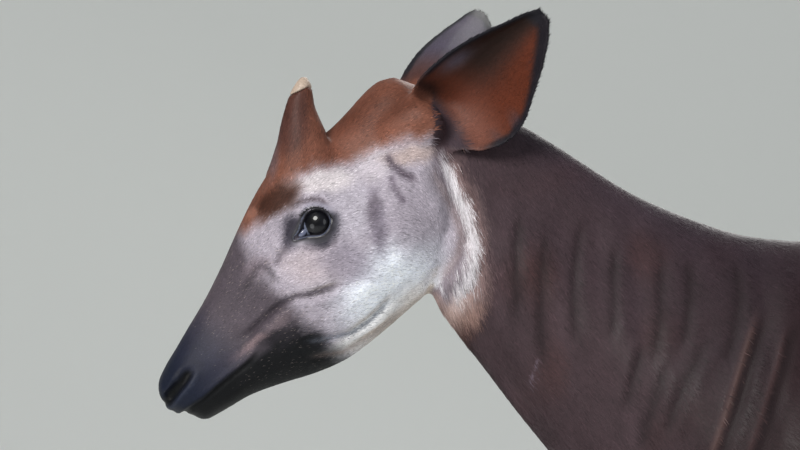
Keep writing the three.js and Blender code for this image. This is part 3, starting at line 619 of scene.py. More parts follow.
# Painted after the russet crown
BROW_MARKS = [
    ("dark brow", (-668, 1609), (36, 17), 34, (0.22, 0.125, 0.09), 0.90),
    ("pink spot", (-699, 1592), (11, 8), 30, (0.58, 0.40, 0.34), 0.80),
    ("ossicone grey", (-672, 1690), (10, 56), -6, (0.36, 0.32, 0.35), 0.70),
    ("ossicone dark", (-648, 1712), (24, 46), -6, (0.26, 0.16, 0.14), 0.85),
    ("crown dark", (-545, 1722), (60, 22), 20, (0.32, 0.185, 0.14), 0.55),
]
EYE_MARKS = [
    ("canthus patch", (-650, 1572), (14, 21), -12, (0.125, 0.115, 0.15), 0.85),
    ("lid", (-617, 1604), (22, 6), 0, (0.58, 0.56, 0.61), 0.85),
]


def head_colour(points, normals):
    """Pale cheeks, a dark nose and chin, a russet crown and a dark ring round the eye."""
    colour = np.tile(CHEEK, (len(points), 1))
    colour = marked(colour, points, MARKS)
    back, _ = on_head(points)
    nose = 1 - beyond(points, NOSE_LINE, 16)
    colour = paint(colour, NOSE, 0.92 * nose)
    colour = marked(colour, points, NOSE_MARKS)
    colour = paint(colour, (0.120, 0.128, 0.185), 1 - ramp(back, 0.045, 0.130))
    colour = paint(colour, (0.075, 0.095, 0.155), 1 - ramp(back, 0.016, 0.060))
    chin = (1 - beyond(points, LIP_LINE, 5)) * (1 - ramp(back, 0.17, 0.215))
    colour = paint(colour, (0.040, 0.043, 0.056), chin)
    under = ramp(-normals[:, 2], 0.55, 0.85) * ramp(back, 0.20, 0.26)
    colour = paint(colour, (0.70, 0.63, 0.57), 0.75 * under)
    bridge = ramp(-normals[:, 0] * 0.7 + normals[:, 2] * 0.7 - np.abs(normals[:, 1]), 0.2, 0.6)
    bridge = bridge * (1 - ramp(back, 0.20, 0.26)) * ramp(back, 0.06, 0.12)
    colour = paint(colour, (0.34, 0.30, 0.32), 0.4 * bridge)
    crown = beyond(points, CROWN_LINE, 12)
    colour = paint(colour, RUSSET, 0.96 * crown)
    colour = marked(colour, points, BROW_MARKS)
    eye_gap = np.hypot(points[:, 0] - EYE[0] + 0.001, points[:, 2] - EYE[2] + 0.003)
    round_eye = (1 - ramp(eye_gap, 0.018, 0.034)) * (1 - 0.8 * ramp(points[:, 2], 1.593, 1.603))
    colour = paint(colour, (0.125, 0.118, 0.150), 0.90 * round_eye)
    return marked(colour, points, EYE_MARKS)


print("marks of the head:", len(MARKS) + len(NOSE_MARKS) + len(BROW_MARKS) + len(EYE_MARKS))

# %% [markdown]
# ### Legs
# White bands run round the haunches and upper legs. They are a wave of the height, bent by a slow
# ripple, so that they vary in width and end unevenly as on a living animal. Below them the legs are
# cream, with a dark streak down the front, a dark fetlock and a white ring over the hoof.

# %% Stripes and legs
def stripes(points):
    """White bands on the haunches and upper legs, and none elsewhere."""
    x, y, z = points.T
    bend = ripple(points, 0.34, 21) * 0.020 + ripple(points, 0.12, 22) * 0.0055
    behind = ramp(x, 0.70, 1.05)
    haunch_phase = (z + 0.10 * (x - 0.92) - 0.35 * (x - 0.92) ** 2 + bend) / 0.050
    reach_in = 0.86 - 0.10 * np.cos((z - 0.95) * 7) + 0.035 * ripple(points, 0.13, 23)
    inside = ramp(x, reach_in, reach_in + 0.05) * ramp(z, 0.60, 0.66) * (1 - ramp(z, 1.19, 1.27))
    below = (1 - ramp(z, 0.78, 0.90)) * ramp(z, 0.60, 0.66) * (x > 0.6)
    width = 0.34 + 0.20 * behind + 0.06 * ripple(points, 0.16, 24)
    haunch = ramp(np.sin(2 * math.pi * haunch_phase), 1 - 2 * width - 0.18, 1 - 2 * width + 0.18)
    haunch = haunch * np.maximum(inside, below) * (1 - ramp(x, 1.085, 1.10) * (np.abs(y) < 0.05))
    arm_phase = (z + 0.06 * x + 0.6 * bend) / 0.046
    arm = ramp(np.sin(2 * math.pi * arm_phase), 0.05, 0.40)
    arm = arm * ramp(z, 0.60, 0.64) * (1 - ramp(z, 0.83, 0.88)) * (x < 0.5)
    return np.clip(haunch + arm, 0, 1)


def leg_colour(points, normals, body):
    """Pale shanks with a dark streak down the front, a dark band over the hoof and a white ring."""
    x, y, z = points.T
    fore = x < 0.5
    top = np.where(fore, 0.560, 0.640) + 0.012 * ripple(points, 0.09, 31)
    pale = 1 - ramp(z, top - 0.02, top + 0.02)
    colour = paint(body, (0.84, 0.78, 0.70), pale)
    ahead = ramp(-normals[:, 0], 0.35, 0.75)
    streak = ahead * ramp(z, 0.17, 0.22) * pale
    colour = paint(colour, (0.20, 0.15, 0.14), 0.85 * streak * fore)
    knee = bell(z - 0.500, 0.050) * ramp(-normals[:, 0], -0.2, 0.4) * fore
    colour = paint(colour, (0.16, 0.12, 0.11), 0.9 * knee)
    fetlock = bell(z - 0.150, 0.034 + 0.004 * ripple(points, 0.06, 32))
    colour = paint(colour, (0.17, 0.13, 0.125), 0.92 * np.clip(1.5 * fetlock, 0, 1) * (z < 0.30))
    ring = bell(z - 0.098, 0.014) * (z < 0.30)
    colour = paint(colour, (0.88, 0.84, 0.79), 0.85 * np.clip(1.6 * ring, 0, 1))
    return paint(colour, (0.16, 0.13, 0.13), (1 - ramp(z, 0.066, 0.082)))


print("part of the skin that is striped:", (stripes(skin_points) > 0.5).mean().round(3))

# %% [markdown]
# ### Ears
# The ears are the largest forms of the head and stand free of it, so their colours don't come from
# the side view but from places on the ear itself: along it, across it, and in front of or behind its
# cup. The rows, and the side, root, axis and rear way of each ear, are those of the solids.

# %% Markings of the ears
# Rows of an ear: place along it from 0 to 1, and its front edge, rear edge and depth of cup in mm
EAR_ROWS = np.array([
    (-0.14, -30, 30, 34), (0, -37, 58, 44), (0.15, -43, 84, 47), (0.31, -43, 95, 44), (0.48, -39, 88, 36),
    (0.65, -30, 68, 26), (0.83, -18, 45, 15), (0.94, -11, 28, 8), (1, -4, 15, 3)])
EAR_LENGTH = 0.209
EAR_POSES = {
    "left": (-1, (-0.480, -0.055, 1.714), (0.695, -0.329, 0.638), (0.675, 0, -0.739)),
    "right": (1, (-0.487, 0.055, 1.724), (0.37, 0.66, 0.655), (0.87, 0, -0.491)),
}


def ear_place(points, which):
    """Place along the ear, place across it from front edge to rear edge, and distance in front of its cup."""
    side, root, axis, rear = EAR_POSES[which]
    axis, rear = np.array(axis) / np.linalg.norm(axis), np.array(rear) / np.linalg.norm(rear)
    opening = np.cross(axis, rear) * side
    opening /= np.linalg.norm(opening)
    away = points - np.array(root)
    rear_in = rear - (rear @ axis) * axis
    along = (away @ axis) / EAR_LENGTH
    over = away @ rear_in / (rear_in @ rear_in)
    along = along - over * (rear @ axis) / EAR_LENGTH
    front, back_edge, cup = (np.interp(along, EAR_ROWS[:, 0], EAR_ROWS[:, k]) / 1000 for k in (1, 2, 3))
    across = (over - front) / (back_edge - front)
    ahead = away @ opening + cup * np.sin(np.pi * np.clip(across, 0, 1) ** 0.72)
    return along, across, ahead


def on_ear(points):
    """How far each point belongs to an ear, with its places there."""
    left = points[:, 1] < 0.001
    places = [np.where(left, a, b) for a, b in zip(ear_place(points, "left"), ear_place(points, "right"))]
    along, across, ahead = places
    close = (ahead > -0.013) & (ahead < 0.035) & (np.abs(across - 0.5) < 0.62) & (points[:, 0] > -0.56)
    belongs = ramp(along, 0.04, 0.12) * close
    return belongs, along, np.clip(across, 0, 1), ahead


def ear_colour(along, across, ahead):
    """Russet hollow with painted shade in its deep front and a painted highlight on its fold, grey-purple
    shell and a black rim widest at the tip.
    """
    inner = ramp(ahead, -0.0008, 0.0008)
    hollow = np.tile((0.33, 0.155, 0.095), (len(along), 1))
    # Painted shade: the deep front of the cup is darker
    front_cup_shade = (1 - ramp(across, 0.22, 0.66)) * ramp(along, 0.16, 0.50)
    hollow = paint(hollow, (0.11, 0.060, 0.045), 0.90 * front_cup_shade)
    lobe = (1 - ramp(along, 0.10, 0.40)) * ramp(across, 0.30, 0.70)
    hollow = paint(hollow, (0.48, 0.32, 0.28), 0.65 * lobe)
    root = (1 - ramp(along, 0.08, 0.20)) * (1 - ramp(across, 0.12, 0.30))
    hollow = paint(hollow, (0.10, 0.07, 0.07), 0.8 * root)
    # Painted highlight: a bluish shine along the front fold of the hollow
    front_fold_highlight = bell(along - 0.36, 0.13) * bell(across - 0.10, 0.08)
    hollow = paint(hollow, (0.40, 0.41, 0.50), 0.62 * front_fold_highlight)
    shell = np.tile((0.29, 0.265, 0.325), (len(along), 1))
    shell = paint(shell, (0.33, 0.20, 0.165), 0.8 * (1 - ramp(along, 0.10, 0.45)))
    colour = shell * (1 - inner[:, None]) + hollow * inner[:, None]
    breadth = np.interp(along, EAR_ROWS[:, 0], EAR_ROWS[:, 2] - EAR_ROWS[:, 1]) / 1000
    rim_breadth = np.interp(along, (0.2, 0.6, 0.85, 1.0), (0.009, 0.014, 0.024, 0.032))
    rear_gap = np.minimum((1 - across) * breadth, (1 - along) * EAR_LENGTH)
    rim = np.maximum(1 - ramp(rear_gap / rim_breadth, 0.55, 1.25), 1 - ramp(across * breadth, 0.003, 0.008))
    return paint(colour, (0.085, 0.085, 0.115), 0.92 * rim * ramp(along, 0.08, 0.24))


print("length of an ear:", EAR_LENGTH, "m")

# %% [markdown]
# ### Neck
# Behind the jaw lies a band of longer pale hair, which is brown at its rear and below. Two lines part it
# from the head and from the neck, and its colour follows the place between them.

# %% Markings of the neck
def neck_band(points):
    """How far each point lies in the pale band behind the jaw, and its place across the band."""
    from_jaw, _ = path_field(points, JAW_LINE, 0.5)
    from_neck, _ = path_field(points, BAND_LINE, 0.5)
    belongs = ramp(from_jaw * 1000, -7, 7) * (1 - ramp(from_neck * 1000, -12, 12))
    x, z = points[:, 0], points[:, 2]
    belongs = belongs * (z > 1.38) * (x > -0.55) * (1 - ramp(z, 1.655, 1.685))
    across = np.abs(from_jaw) / (np.abs(from_jaw) + np.abs(from_neck) + 1e-6)
    return belongs, np.where(from_jaw < 0, 0, across)


def band_colour(points, across):
    """Lavender grey under the jaw, white in the middle in fine streaks, brown at the rear and below."""
    z = points[:, 2]
    streaks = ripple(np.column_stack([across * 0.05, 0 * z, z * 0.02]), 0.006, 61)
    colour = np.tile((0.54, 0.505, 0.545), (len(points), 1))
    colour = paint(colour, (0.84, 0.82, 0.84), ramp(across, 0.12, 0.32))
    colour = paint(colour, (0.45, 0.37, 0.365), ramp(across, 0.50, 0.78))
    colour = colour * (1 + 0.10 * streaks)[:, None]
    colour = paint(colour, (0.61, 0.49, 0.45), 0.75 * (1 - ramp(z, 1.475, 1.510)))
    return paint(colour, (0.25, 0.175, 0.168), 1 - ramp(z, 1.435, 1.478))


print("points of the skin in the band:", int((neck_band(mirrored(skin_points))[0] > 0.5).sum()))

# %% [markdown]
# ### Everything together
# Last come thin lines along some folds: painted shade in the grooves and painted highlights on the ridges,
# where light and shade fall on them, and a few lines of the hair's own colour. Each line names its fold,
# its place beside it and its width in mm, its colour and its strength.

# %% Markings of the whole animal
# Painted highlight: the ridges of neck folds 7 and 8 and the raised lower rim of the nostril; the chin
# crease, nose vein and neck scratch are the hair's own colour
# Painted shade: the grooves of the cheek fold, jaw crease, temple crease and branch, jaw edge, brow crease,
# under-eye crease, tear groove and neck folds 7 and 8, the inside of the nostril, the mouth line and the
# lower lip under the upper lip
SHADE_HIGHLIGHT_AND_MARK_LINES = [
    ("cheek fold", 0, 3.6, (0.17, 0.145, 0.17), 0.70), ("jaw crease", 0, 3.2, (0.36, 0.38, 0.42), 0.70),
    ("chin crease", 0, 3.2, (0.50, 0.43, 0.40), 0.50), ("nose vein", 0, 4.5, (0.19, 0.17, 0.19), 0.50),
    ("temple crease", 0, 4.8, (0.25, 0.21, 0.25), 0.82), ("temple branch", 0, 4.4, (0.34, 0.30, 0.35), 0.68),
    ("jaw edge", 0, 7.0, (0.50, 0.43, 0.42), 0.45), ("mouth", 0, 4.2, (0.03, 0.03, 0.04), 0.95),
    ("nostril", 0, 6.2, (0.012, 0.012, 0.018), 0.98), ("nostril", -10, 2.6, (0.20, 0.22, 0.28), 0.50),
    ("mouth", -5, 6.0, (0.035, 0.040, 0.050), 0.85), ("brow crease", 0, 2.6, (0.24, 0.20, 0.22), 0.70),
    ("under-eye crease", 0, 2.6, (0.33, 0.30, 0.33), 0.45), ("tear groove", 0, 5.0, (0.27, 0.24, 0.27), 0.50),
    ("neck scratch", 0, 1.6, (0.52, 0.48, 0.55), 0.45),
    ("neck fold 7", 0, 5.0, (0.36, 0.27, 0.25), 0.60), ("neck fold 7", 12, 7.5, (0.10, 0.065, 0.072), 0.60),
    ("neck fold 8", 0, 4.0, (0.32, 0.235, 0.23), 0.48), ("neck fold 8", 11, 7.5, (0.10, 0.065, 0.072), 0.52),
]
SOFT_FOLDS = (1, 2, 3, 4, 5, 6, 9, 10, 11, 12)
# Painted shade along the grooves of the smaller neck folds
SHADE_HIGHLIGHT_AND_MARK_LINES += [(f"neck fold {number}", 0, 7.5, (0.095, 0.062, 0.072), 0.54) for number in SOFT_FOLDS]
FOLD_PATHS = {fold[0]: fold[1] for fold in FOLDS}


def colour_at(points, normals):
    """Display colours of skin and coat at these points."""
    left = mirrored(points)
    bend = np.column_stack([ripple(points, 0.030, 41), 0 * points[:, 0], ripple(points, 0.030, 42)])
    bent = left + 0.0035 * bend
    x, z = bent[:, 0], bent[:, 2]
    mottle = 0.40 * ramp(ripple(points * (1, 1, 0.25), 0.05, 51), 0.1, 1.2)
    neck = paint(np.tile(NECK_BROWN, (len(points), 1)), (0.285, 0.225, 0.245), mottle)
    neck = paint(neck, (0.25, 0.130, 0.115), 0.40 * ramp(ripple(points, 0.14, 52), 0.1, 1.1))
    neck = paint(neck, (0.128, 0.076, 0.086), 0.88 * ramp(x, -0.26, -0.02))
    # Painted sheen: the parts of the neck that face up are lighter and bluer, as the light from above falls
    # on them
    neck = paint(neck, (0.25, 0.225, 0.265), 0.45 * ramp(normals[:, 2], 0.15, 0.75))
    body = paint(neck, BODY_BROWN, ramp(x, -0.10, 0.25))
    # Painted shade: the parts of the trunk that face down are darker
    body = paint(body, (0.11, 0.075, 0.075), 0.7 * ramp(-normals[:, 2], 0.5, 0.9) * ramp(x, -0.1, 0.1))
    body = paint(body, (0.84, 0.80, 0.76), 0.95 * stripes(points))
    colour = leg_colour(points, normals, body)
    in_band, across_band = neck_band(bent)
    colour = colour * (1 - in_band[:, None]) + band_colour(bent, across_band) * in_band[:, None]
    in_head = (1 - beyond(bent, JAW_LINE, 5)) * (x < -0.36) * (z > 1.28)
    colour = colour * (1 - in_head[:, None]) + head_colour(bent, normals) * in_head[:, None]
    speckle = ripple(points, 0.006, 43) * (0.4 + 0.6 * ramp(ripple(points, 0.03, 44), -0.6, 0.8))
    colour = colour * (1 + 0.07 * speckle * in_head)[:, None]
    # Painted shade in the fold grooves and painted highlights on their ridges, and a few lines of the hair's
    # own colour
    for name, beside, width, tone, strength in SHADE_HIGHLIGHT_AND_MARK_LINES:
        offset, place = path_field(left, FOLD_PATHS[name], 0.05)
        ends = (1 if name in OPENINGS else ramp(place, 0, 0.2)) * (1 - ramp(place, 0.8, 1))
        colour = paint(colour, tone, strength * bell(offset * 1000 - beside, width) * ends)
    belongs, along, across, ahead = on_ear(points)
    colour = colour * (1 - belongs[:, None]) + ear_colour(along, across, ahead) * belongs[:, None]
    return np.clip(colour, 0.01, 1)


def dress(mesh, colours, name="Tint"):
    """Gives each corner point its colour."""
    layer = mesh.color_attributes.new(name, "FLOAT_COLOR", "POINT")
    rgba = np.ones((len(mesh.vertices), 4), np.float32)
    rgba[:, :3] = linear(colours)
    layer.data.foreach_set("color", rgba.ravel())


skin_colours = colour_at(skin_points, skin_normals)
skin_mesh = make_mesh("skin", skin_points + SHIFT, skin_triangles)
skin_mesh.shade_smooth()
dress(skin_mesh, skin_colours)
skin = bpy.data.objects.new("skin", skin_mesh)
bpy.context.collection.objects.link(skin)
print("mean colour of the skin:", skin_colours.mean(axis=0).round(2))

# %% [markdown]
# ## Materials
# The colour of skin and hair is already painted on their corner points, so the shaders only add what
# is too fine for it. A shared group gives each material small breaks of tone and a fine grain. The sheen
# of short velvety hair is set on the shader itself.

# %% A shared grain
def new_group(name, sockets):
    """A shader node group with these sockets."""
    group = bpy.data.node_groups.new(name, "ShaderNodeTree")
    for label, way, kind, value in sockets:
        socket = group.interface.new_socket(label, in_out=way, socket_type=kind)
        if value is not None:
            socket.default_value = value
    return group, group.nodes.new("NodeGroupInput"), group.nodes.new("NodeGroupOutput")


grain, grain_in, grain_out = new_group("Fine grain", [
    ("Tone", "INPUT", "NodeSocketColor", None), ("Size", "INPUT", "NodeSocketFloat", 300.0),
    ("Depth of tone", "INPUT", "NodeSocketFloat", 0.3), ("Tone", "OUTPUT", "NodeSocketColor", None),
    ("Height", "OUTPUT", "NodeSocketFloat", None)])
place = grain.nodes.new("ShaderNodeTexCoord")
noise = grain.nodes.new("ShaderNodeTexNoise")
noise.inputs["Detail"].default_value = 3.0
slow = grain.nodes.new("ShaderNodeTexNoise")
slow.inputs["Scale"].default_value = 28.0
blend = grain.nodes.new("ShaderNodeMath")
blend.operation = "ADD"
swing = grain.nodes.new("ShaderNodeMapRange")
swing.inputs["From Min"].default_value = 0.6
swing.inputs["From Max"].default_value = 1.4
low = grain.nodes.new("ShaderNodeMath")
low.operation = "SUBTRACT"
low.inputs[0].default_value = 1.0
high = grain.nodes.new("ShaderNodeMath")
high.operation = "ADD"
high.inputs[0].default_value = 1.0
scaled = grain.nodes.new("ShaderNodeVectorMath")
scaled.operation = "SCALE"
for start, end in [
        (place.outputs["Object"], noise.inputs["Vector"]), (grain_in.outputs["Size"], noise.inputs["Scale"]),
        (place.outputs["Object"], slow.inputs["Vector"]), (noise.outputs["Fac"], blend.inputs[0]),
        (slow.outputs["Fac"], blend.inputs[1]), (blend.outputs[0], swing.inputs["Value"]),
        (grain_in.outputs["Depth of tone"], low.inputs[1]),
        (grain_in.outputs["Depth of tone"], high.inputs[1]),
        (low.outputs[0], swing.inputs["To Min"]), (high.outputs[0], swing.inputs["To Max"]),
        (grain_in.outputs["Tone"], scaled.inputs[0]), (swing.outputs[0], scaled.inputs["Scale"]),
        (scaled.outputs[0], grain_out.inputs["Tone"]), (noise.outputs["Fac"], grain_out.inputs["Height"])]:
    grain.links.new(start, end)


print("nodes in the grain:", len(grain.nodes))

# %% [markdown]
# Short hair shines softly and a hoof more. A finish that is painted on the corner points reads the
# layer Tint, and horn and hoof have one colour with the grain on it.

# %% Materials
def material(name, colour=None, roughness=0.6, size=300.0, tone=0.25, bump=0.0, tinted=False, **sockets):
    """A finish whose colour is broken by the grain: size of the grain, swing of tone, depth of bump."""
    made = bpy.data.materials.new(name)
    made.use_nodes = True
    nodes, links = made.node_tree.nodes, made.node_tree.links
    shader = nodes["Principled BSDF"]
    shader.inputs["Roughness"].default_value = roughness
    for socket, value in sockets.items():
        shader.inputs[socket.replace("_", " ")].default_value = value
    fine_grain = nodes.new("ShaderNodeGroup")
    fine_grain.node_tree = grain
    fine_grain.inputs["Size"].default_value = size
    fine_grain.inputs["Depth of tone"].default_value = tone
    if tinted:
        tint = nodes.new("ShaderNodeVertexColor")
        tint.layer_name = "Tint"
        links.new(tint.outputs["Color"], fine_grain.inputs["Tone"])
    else:
        fine_grain.inputs["Tone"].default_value = (*linear(colour), 1)
    links.new(fine_grain.outputs["Tone"], shader.inputs["Base Color"])
    if bump:
        relief = nodes.new("ShaderNodeBump")
        relief.inputs["Distance"].default_value = bump
        relief.inputs["Strength"].default_value = 0.6
        links.new(fine_grain.outputs["Height"], relief.inputs["Height"])
        links.new(relief.outputs["Normal"], shader.inputs["Normal"])
    return made


skin_look = material("Skin and short hair", tinted=True, roughness=0.55, size=520, tone=0.18, bump=0.0007,
                     Specular_IOR_Level=0.17, Sheen_Weight=0.02, Sheen_Roughness=0.4)
coat_look = material("Coat", tinted=True, roughness=0.48, size=260, tone=0.16, Specular_IOR_Level=0.17,
                     Sheen_Weight=0.02, Sheen_Roughness=0.35)
horn_look = material("Bare horn", (0.66, 0.59, 0.53), 0.42, 420, 0.40, 0.0006)
hoof_look = material("Hoof", (0.15, 0.125, 0.12), 0.42, 160, 0.35, 0.0008)
tail_look = material("Tail hair", tinted=True, roughness=0.45, size=260, tone=0.2, Sheen_Weight=0.15)
lid_look = material("Lid", tinted=True, roughness=0.36, size=700, tone=0.10, bump=0.0002)
skin_mesh.materials.append(skin_look)
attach(skin, "root")
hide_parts(*FLESH)
print("materials:", len(bpy.data.materials))

# %% [markdown]
# ## The lie of the coat
# Hair grows back from the nose, down the neck and along the ribs, and down the legs. A few arrows
# placed in the side view say so, and every place takes its direction from the arrows nearest to it.
# Each tuft is a closed, three-sided blade: a wide flat root sunk in the skin and one long point.

# %% Directions of the hair
# Middle of each arrow in the side view, its direction there and its reach, in metres
ARROWS = [
    ((-0.79, 1.37), (0.70, 0.62), 0.06), ((-0.70, 1.50), (0.78, 0.55), 0.08),
    ((-0.62, 1.58), (0.90, 0.30), 0.07), ((-0.70, 1.42), (0.90, 0.30), 0.06),
    ((-0.60, 1.47), (0.98, 0.16), 0.07), ((-0.50, 1.55), (0.90, -0.05), 0.08),
    ((-0.66, 1.66), (0.30, 0.90), 0.06), ((-0.63, 1.74), (0.35, 0.92), 0.05),
    ((-0.55, 1.70), (0.86, 0.42), 0.06), ((-0.44, 1.62), (0.12, -0.99), 0.05),
    ((-0.42, 1.55), (-0.06, -1.0), 0.05), ((-0.44, 1.49), (-0.30, -0.95), 0.05),
    ((-0.33, 1.55), (0.62, -0.78), 0.10), ((-0.20, 1.42), (0.66, -0.75), 0.12),
    ((-0.05, 1.45), (0.72, -0.69), 0.14), ((-0.16, 1.20), (0.50, -0.86), 0.12),
    ((0.15, 1.35), (0.86, -0.50), 0.20), ((0.40, 1.42), (0.96, -0.28), 0.20),
    ((0.42, 1.02), (0.96, -0.26), 0.20), ((0.70, 1.35), (0.92, -0.38), 0.16),
    ((0.90, 1.35), (0.72, -0.69), 0.12), ((0.95, 1.10), (0.30, -0.95), 0.16),
    ((0.10, 1.02), (0.25, -0.97), 0.14), ((0.03, 0.70), (0.05, -1.0), 0.20),
    ((0.03, 0.25), (0.05, -1.0), 0.25), ((0.84, 0.85), (0.22, -0.97), 0.16),
    ((0.96, 0.60), (0.08, -1.0), 0.16), ((0.93, 0.25), (0.04, -1.0), 0.25),
    ((1.11, 1.30), (0.20, -0.98), 0.06), ((1.12, 1.10), (0.0, -1.0), 0.10),
]


def lie(points, normals):
    """Unit direction of the hair along the skin at each point."""
    flat = points[:, [0, 2]]
    flow = np.zeros_like(flat)
    for middle, way, reach in ARROWS:
        weight = bell(np.linalg.norm(flat - middle, axis=1), reach) + 1e-9
        flow += weight[:, None] * np.array(way)
    sideways = 0.12 * np.sign(points[:, 1]) * np.linalg.norm(flow, axis=1)
    direction = np.column_stack([flow[:, 0], sideways, flow[:, 1]])
    belongs, _, across, _ = on_ear(points)
    for side, _, axis, rear in EAR_POSES.values():
        here = belongs * (np.sign(points[:, 1]) == side)
        outward = np.array(axis) + 0.35 * (across[:, None] - 0.5) * np.array(rear)
        direction = direction * (1 - here[:, None]) + outward * here[:, None]
    direction -= normals * (direction * normals).sum(axis=1, keepdims=True)
    return direction / np.maximum(np.linalg.norm(direction, axis=1, keepdims=True), 1e-9)


print("arrows:", len(ARROWS))

# %% [markdown]
# ## An unwrap for the coat
# Every tuft has its own small patch on a flat map of the body, on which its colours can be baked: place
# along the limb one way, and the angle round it the other. Tufts that grow together lie together.

# %% Map of the body
BODY_AXIS = np.array([(-0.50, 1.635), (-0.39, 1.570), (-0.30, 1.490), (-0.17, 1.395), (0.0, 1.300),
                      (0.20, 1.225), (0.45, 1.190), (0.70, 1.205), (0.95, 1.240), (1.09, 1.245)])
PATCH = 0.003


def round_axis(points, axis):
    """Place along an axis of the side view and the turn round it, both from 0 to 1."""
    offset, place = path_field(points, axis * 1000, 9.0)
    return place, 0.5 + np.arctan2(points[:, 1], offset) / (2 * math.pi)


def map_place(points, region):
    """Place of each root on the unwrap of its own part of the body, from 0 to 1 both ways."""
    _, along, across, ahead = on_ear(points)
    right = points[:, 1] > 0
    if region == "ears":
        u = 0.03 + 0.44 * across + 0.5 * (ahead > 0)
        v = 0.03 + 0.44 * np.clip(along, 0, 1) + 0.5 * right
        return np.column_stack([u, v])
    if region == "head":
        back, height = on_head(points)
        turn = 0.5 + np.arctan2(points[:, 1], height + 0.006) / (2 * math.pi)
        return np.column_stack([0.05 + 0.9 * np.clip((back + 0.02) / 0.56, 0, 1), 0.02 + 0.96 * turn])
    if region in ("fore", "hind"):
        middle = 0.03 if region == "fore" else 0.94
        turn = 0.5 + np.arctan2(np.abs(points[:, 1]) - 0.105, points[:, 0] - middle) / (2 * math.pi)
        return np.column_stack([0.02 + 0.96 * points[:, 2] / 1.35, 0.02 + 0.46 * turn + 0.5 * right])
    place, turn = round_axis(points, BODY_AXIS)
    return np.column_stack([0.02 + 0.96 * place, 0.02 + 0.96 * turn])


print("length of the body axis:", np.linalg.norm(np.diff(BODY_AXIS, axis=0), axis=1).sum().round(2), "m")

# %% [markdown]
# ## Tufts
# A real coat has millions of hairs. Particle hair would be the usual way, but a reusable model needs
# plain mesh. So a tuft is one closed blade of four corners, wide enough to stand for a lock of hairs: it
# starts a little under the skin, rises over a low ridge and ends in a single point that
# lies along the coat. Its corners darken towards the root, and its normals are those of the skin, bent a
# little to each side, so that thousands of blades shade as one soft surface.

# %% One piece of coat
def regions(points):
    """Which piece of the coat each point belongs to."""
    belongs, *_ = on_ear(points)
    x, z = points[:, 0], points[:, 2]
    left = mirrored(points)
    in_head = (1 - beyond(left, JAW_LINE, 1)) * (x < -0.36) * (z > 1.28) > 0.5
    name = np.full(len(points), "body", dtype="<U8")
    name[(x < 0.02) & (z > 1.05) & ~((x > -0.16) & (z < 1.22))] = "neck"
    name[(z < 0.98) & (x < 0.40) & (np.abs(points[:, 1]) > 0.035)] = "fore"
    name[(z < 1.02) & (x > 0.66)] = "hind"
    name[(x > 1.085) | ((x > 1.05) & (np.abs(points[:, 1]) < 0.05) & (z > 1.34))] = "tail"
    name[neck_band(left)[0] > 0.35] = "band"
    name[in_head] = "head"
    name[belongs > 0.5] = "ears"
    return name


ROOT_DEPTH, RIDGE = 0.14, 0.13
STRAY = 0.16
ROOT_TONE, RIDGE_TONE, TIP_TONE = 0.90, 0.97, 1.08


def grow(name, roots, normals, colours, length, width, lift, spots, rng, vary):
    """One mesh of closed, three-sided tufts, each with a patch of the map."""
    count = len(roots)
    flow = lie(roots, normals)
    side = np.cross(normals, flow)
    stray = rng.normal(0, STRAY, count)[:, None]
    flow = flow * np.cos(stray) + side * np.sin(stray)
    side = np.cross(normals, flow)
    length = (length * rng.uniform(0.65, 1.25, count))[:, None]
    width = (width * rng.uniform(0.75, 1.25, count))[:, None]
    lift = (lift * rng.uniform(0.5, 1.5, count))[:, None]
    sunk = roots - normals * width * ROOT_DEPTH
    corners = np.stack([sunk - side * width / 2, sunk + side * width / 2, roots + normals * width * RIDGE,
                        roots + flow * length + normals * length * lift], axis=1)
    faces = np.array([(0, 1, 3), (0, 3, 2), (1, 2, 3), (0, 2, 1)])
    faces = (faces[None] + 4 * np.arange(count)[:, None, None]).reshape(-1, 3)
    mesh = make_mesh(name, corners.reshape(-1, 3) + SHIFT, faces)
    toned = colours * rng.normal(1, vary, count)[:, None]
    shade = np.stack([toned * part for part in (ROOT_TONE, ROOT_TONE, RIDGE_TONE, TIP_TONE)], axis=1)
    dress(mesh, np.clip(shade.reshape(-1, 3), 0.005, 1))
    patch = np.array([(-0.5, -0.5), (0.5, -0.5), (0.0, 0.1), (0.0, 0.5)]) * PATCH
    spots = (spots[:, None] + patch[None]).reshape(-1, 2)
    layer = mesh.uv_layers.new(name="OFBake")
    layer.uv.foreach_set("vector", spots[faces.ravel()].astype(np.float32).ravel())
    mesh.shade_smooth()
    soft = 0.88 * normals[:, None] + 0.12 * np.stack([-side, side, normals, normals], axis=1)
    soft /= np.linalg.norm(soft, axis=2, keepdims=True)
    mesh.normals_split_custom_set_from_vertices(soft.reshape(-1, 3))
    mesh.materials.append(coat_look)
    made = bpy.data.objects.new(name, mesh)
    bpy.context.collection.objects.link(made)
    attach(made, "root")
    print(name, count, "tufts", len(faces), "triangles")


names, counts = np.unique(regions(skin_points), return_counts=True)
print("points of the skin in each region:", dict(zip(names.tolist(), counts.tolist())))

# %% [markdown]
# ## The whole coat
# The hair of the face and feet is shortest and finest, and that of the band behind the jaw is longest.
# Roots are strewn at random over the skin, more where a triangle is larger and none on the lids, in the
# nostril and along the lips. A hair takes its colour from a spot a little beside its root, so that
# two colours meet in a ragged edge of hairs and not in a painted line.

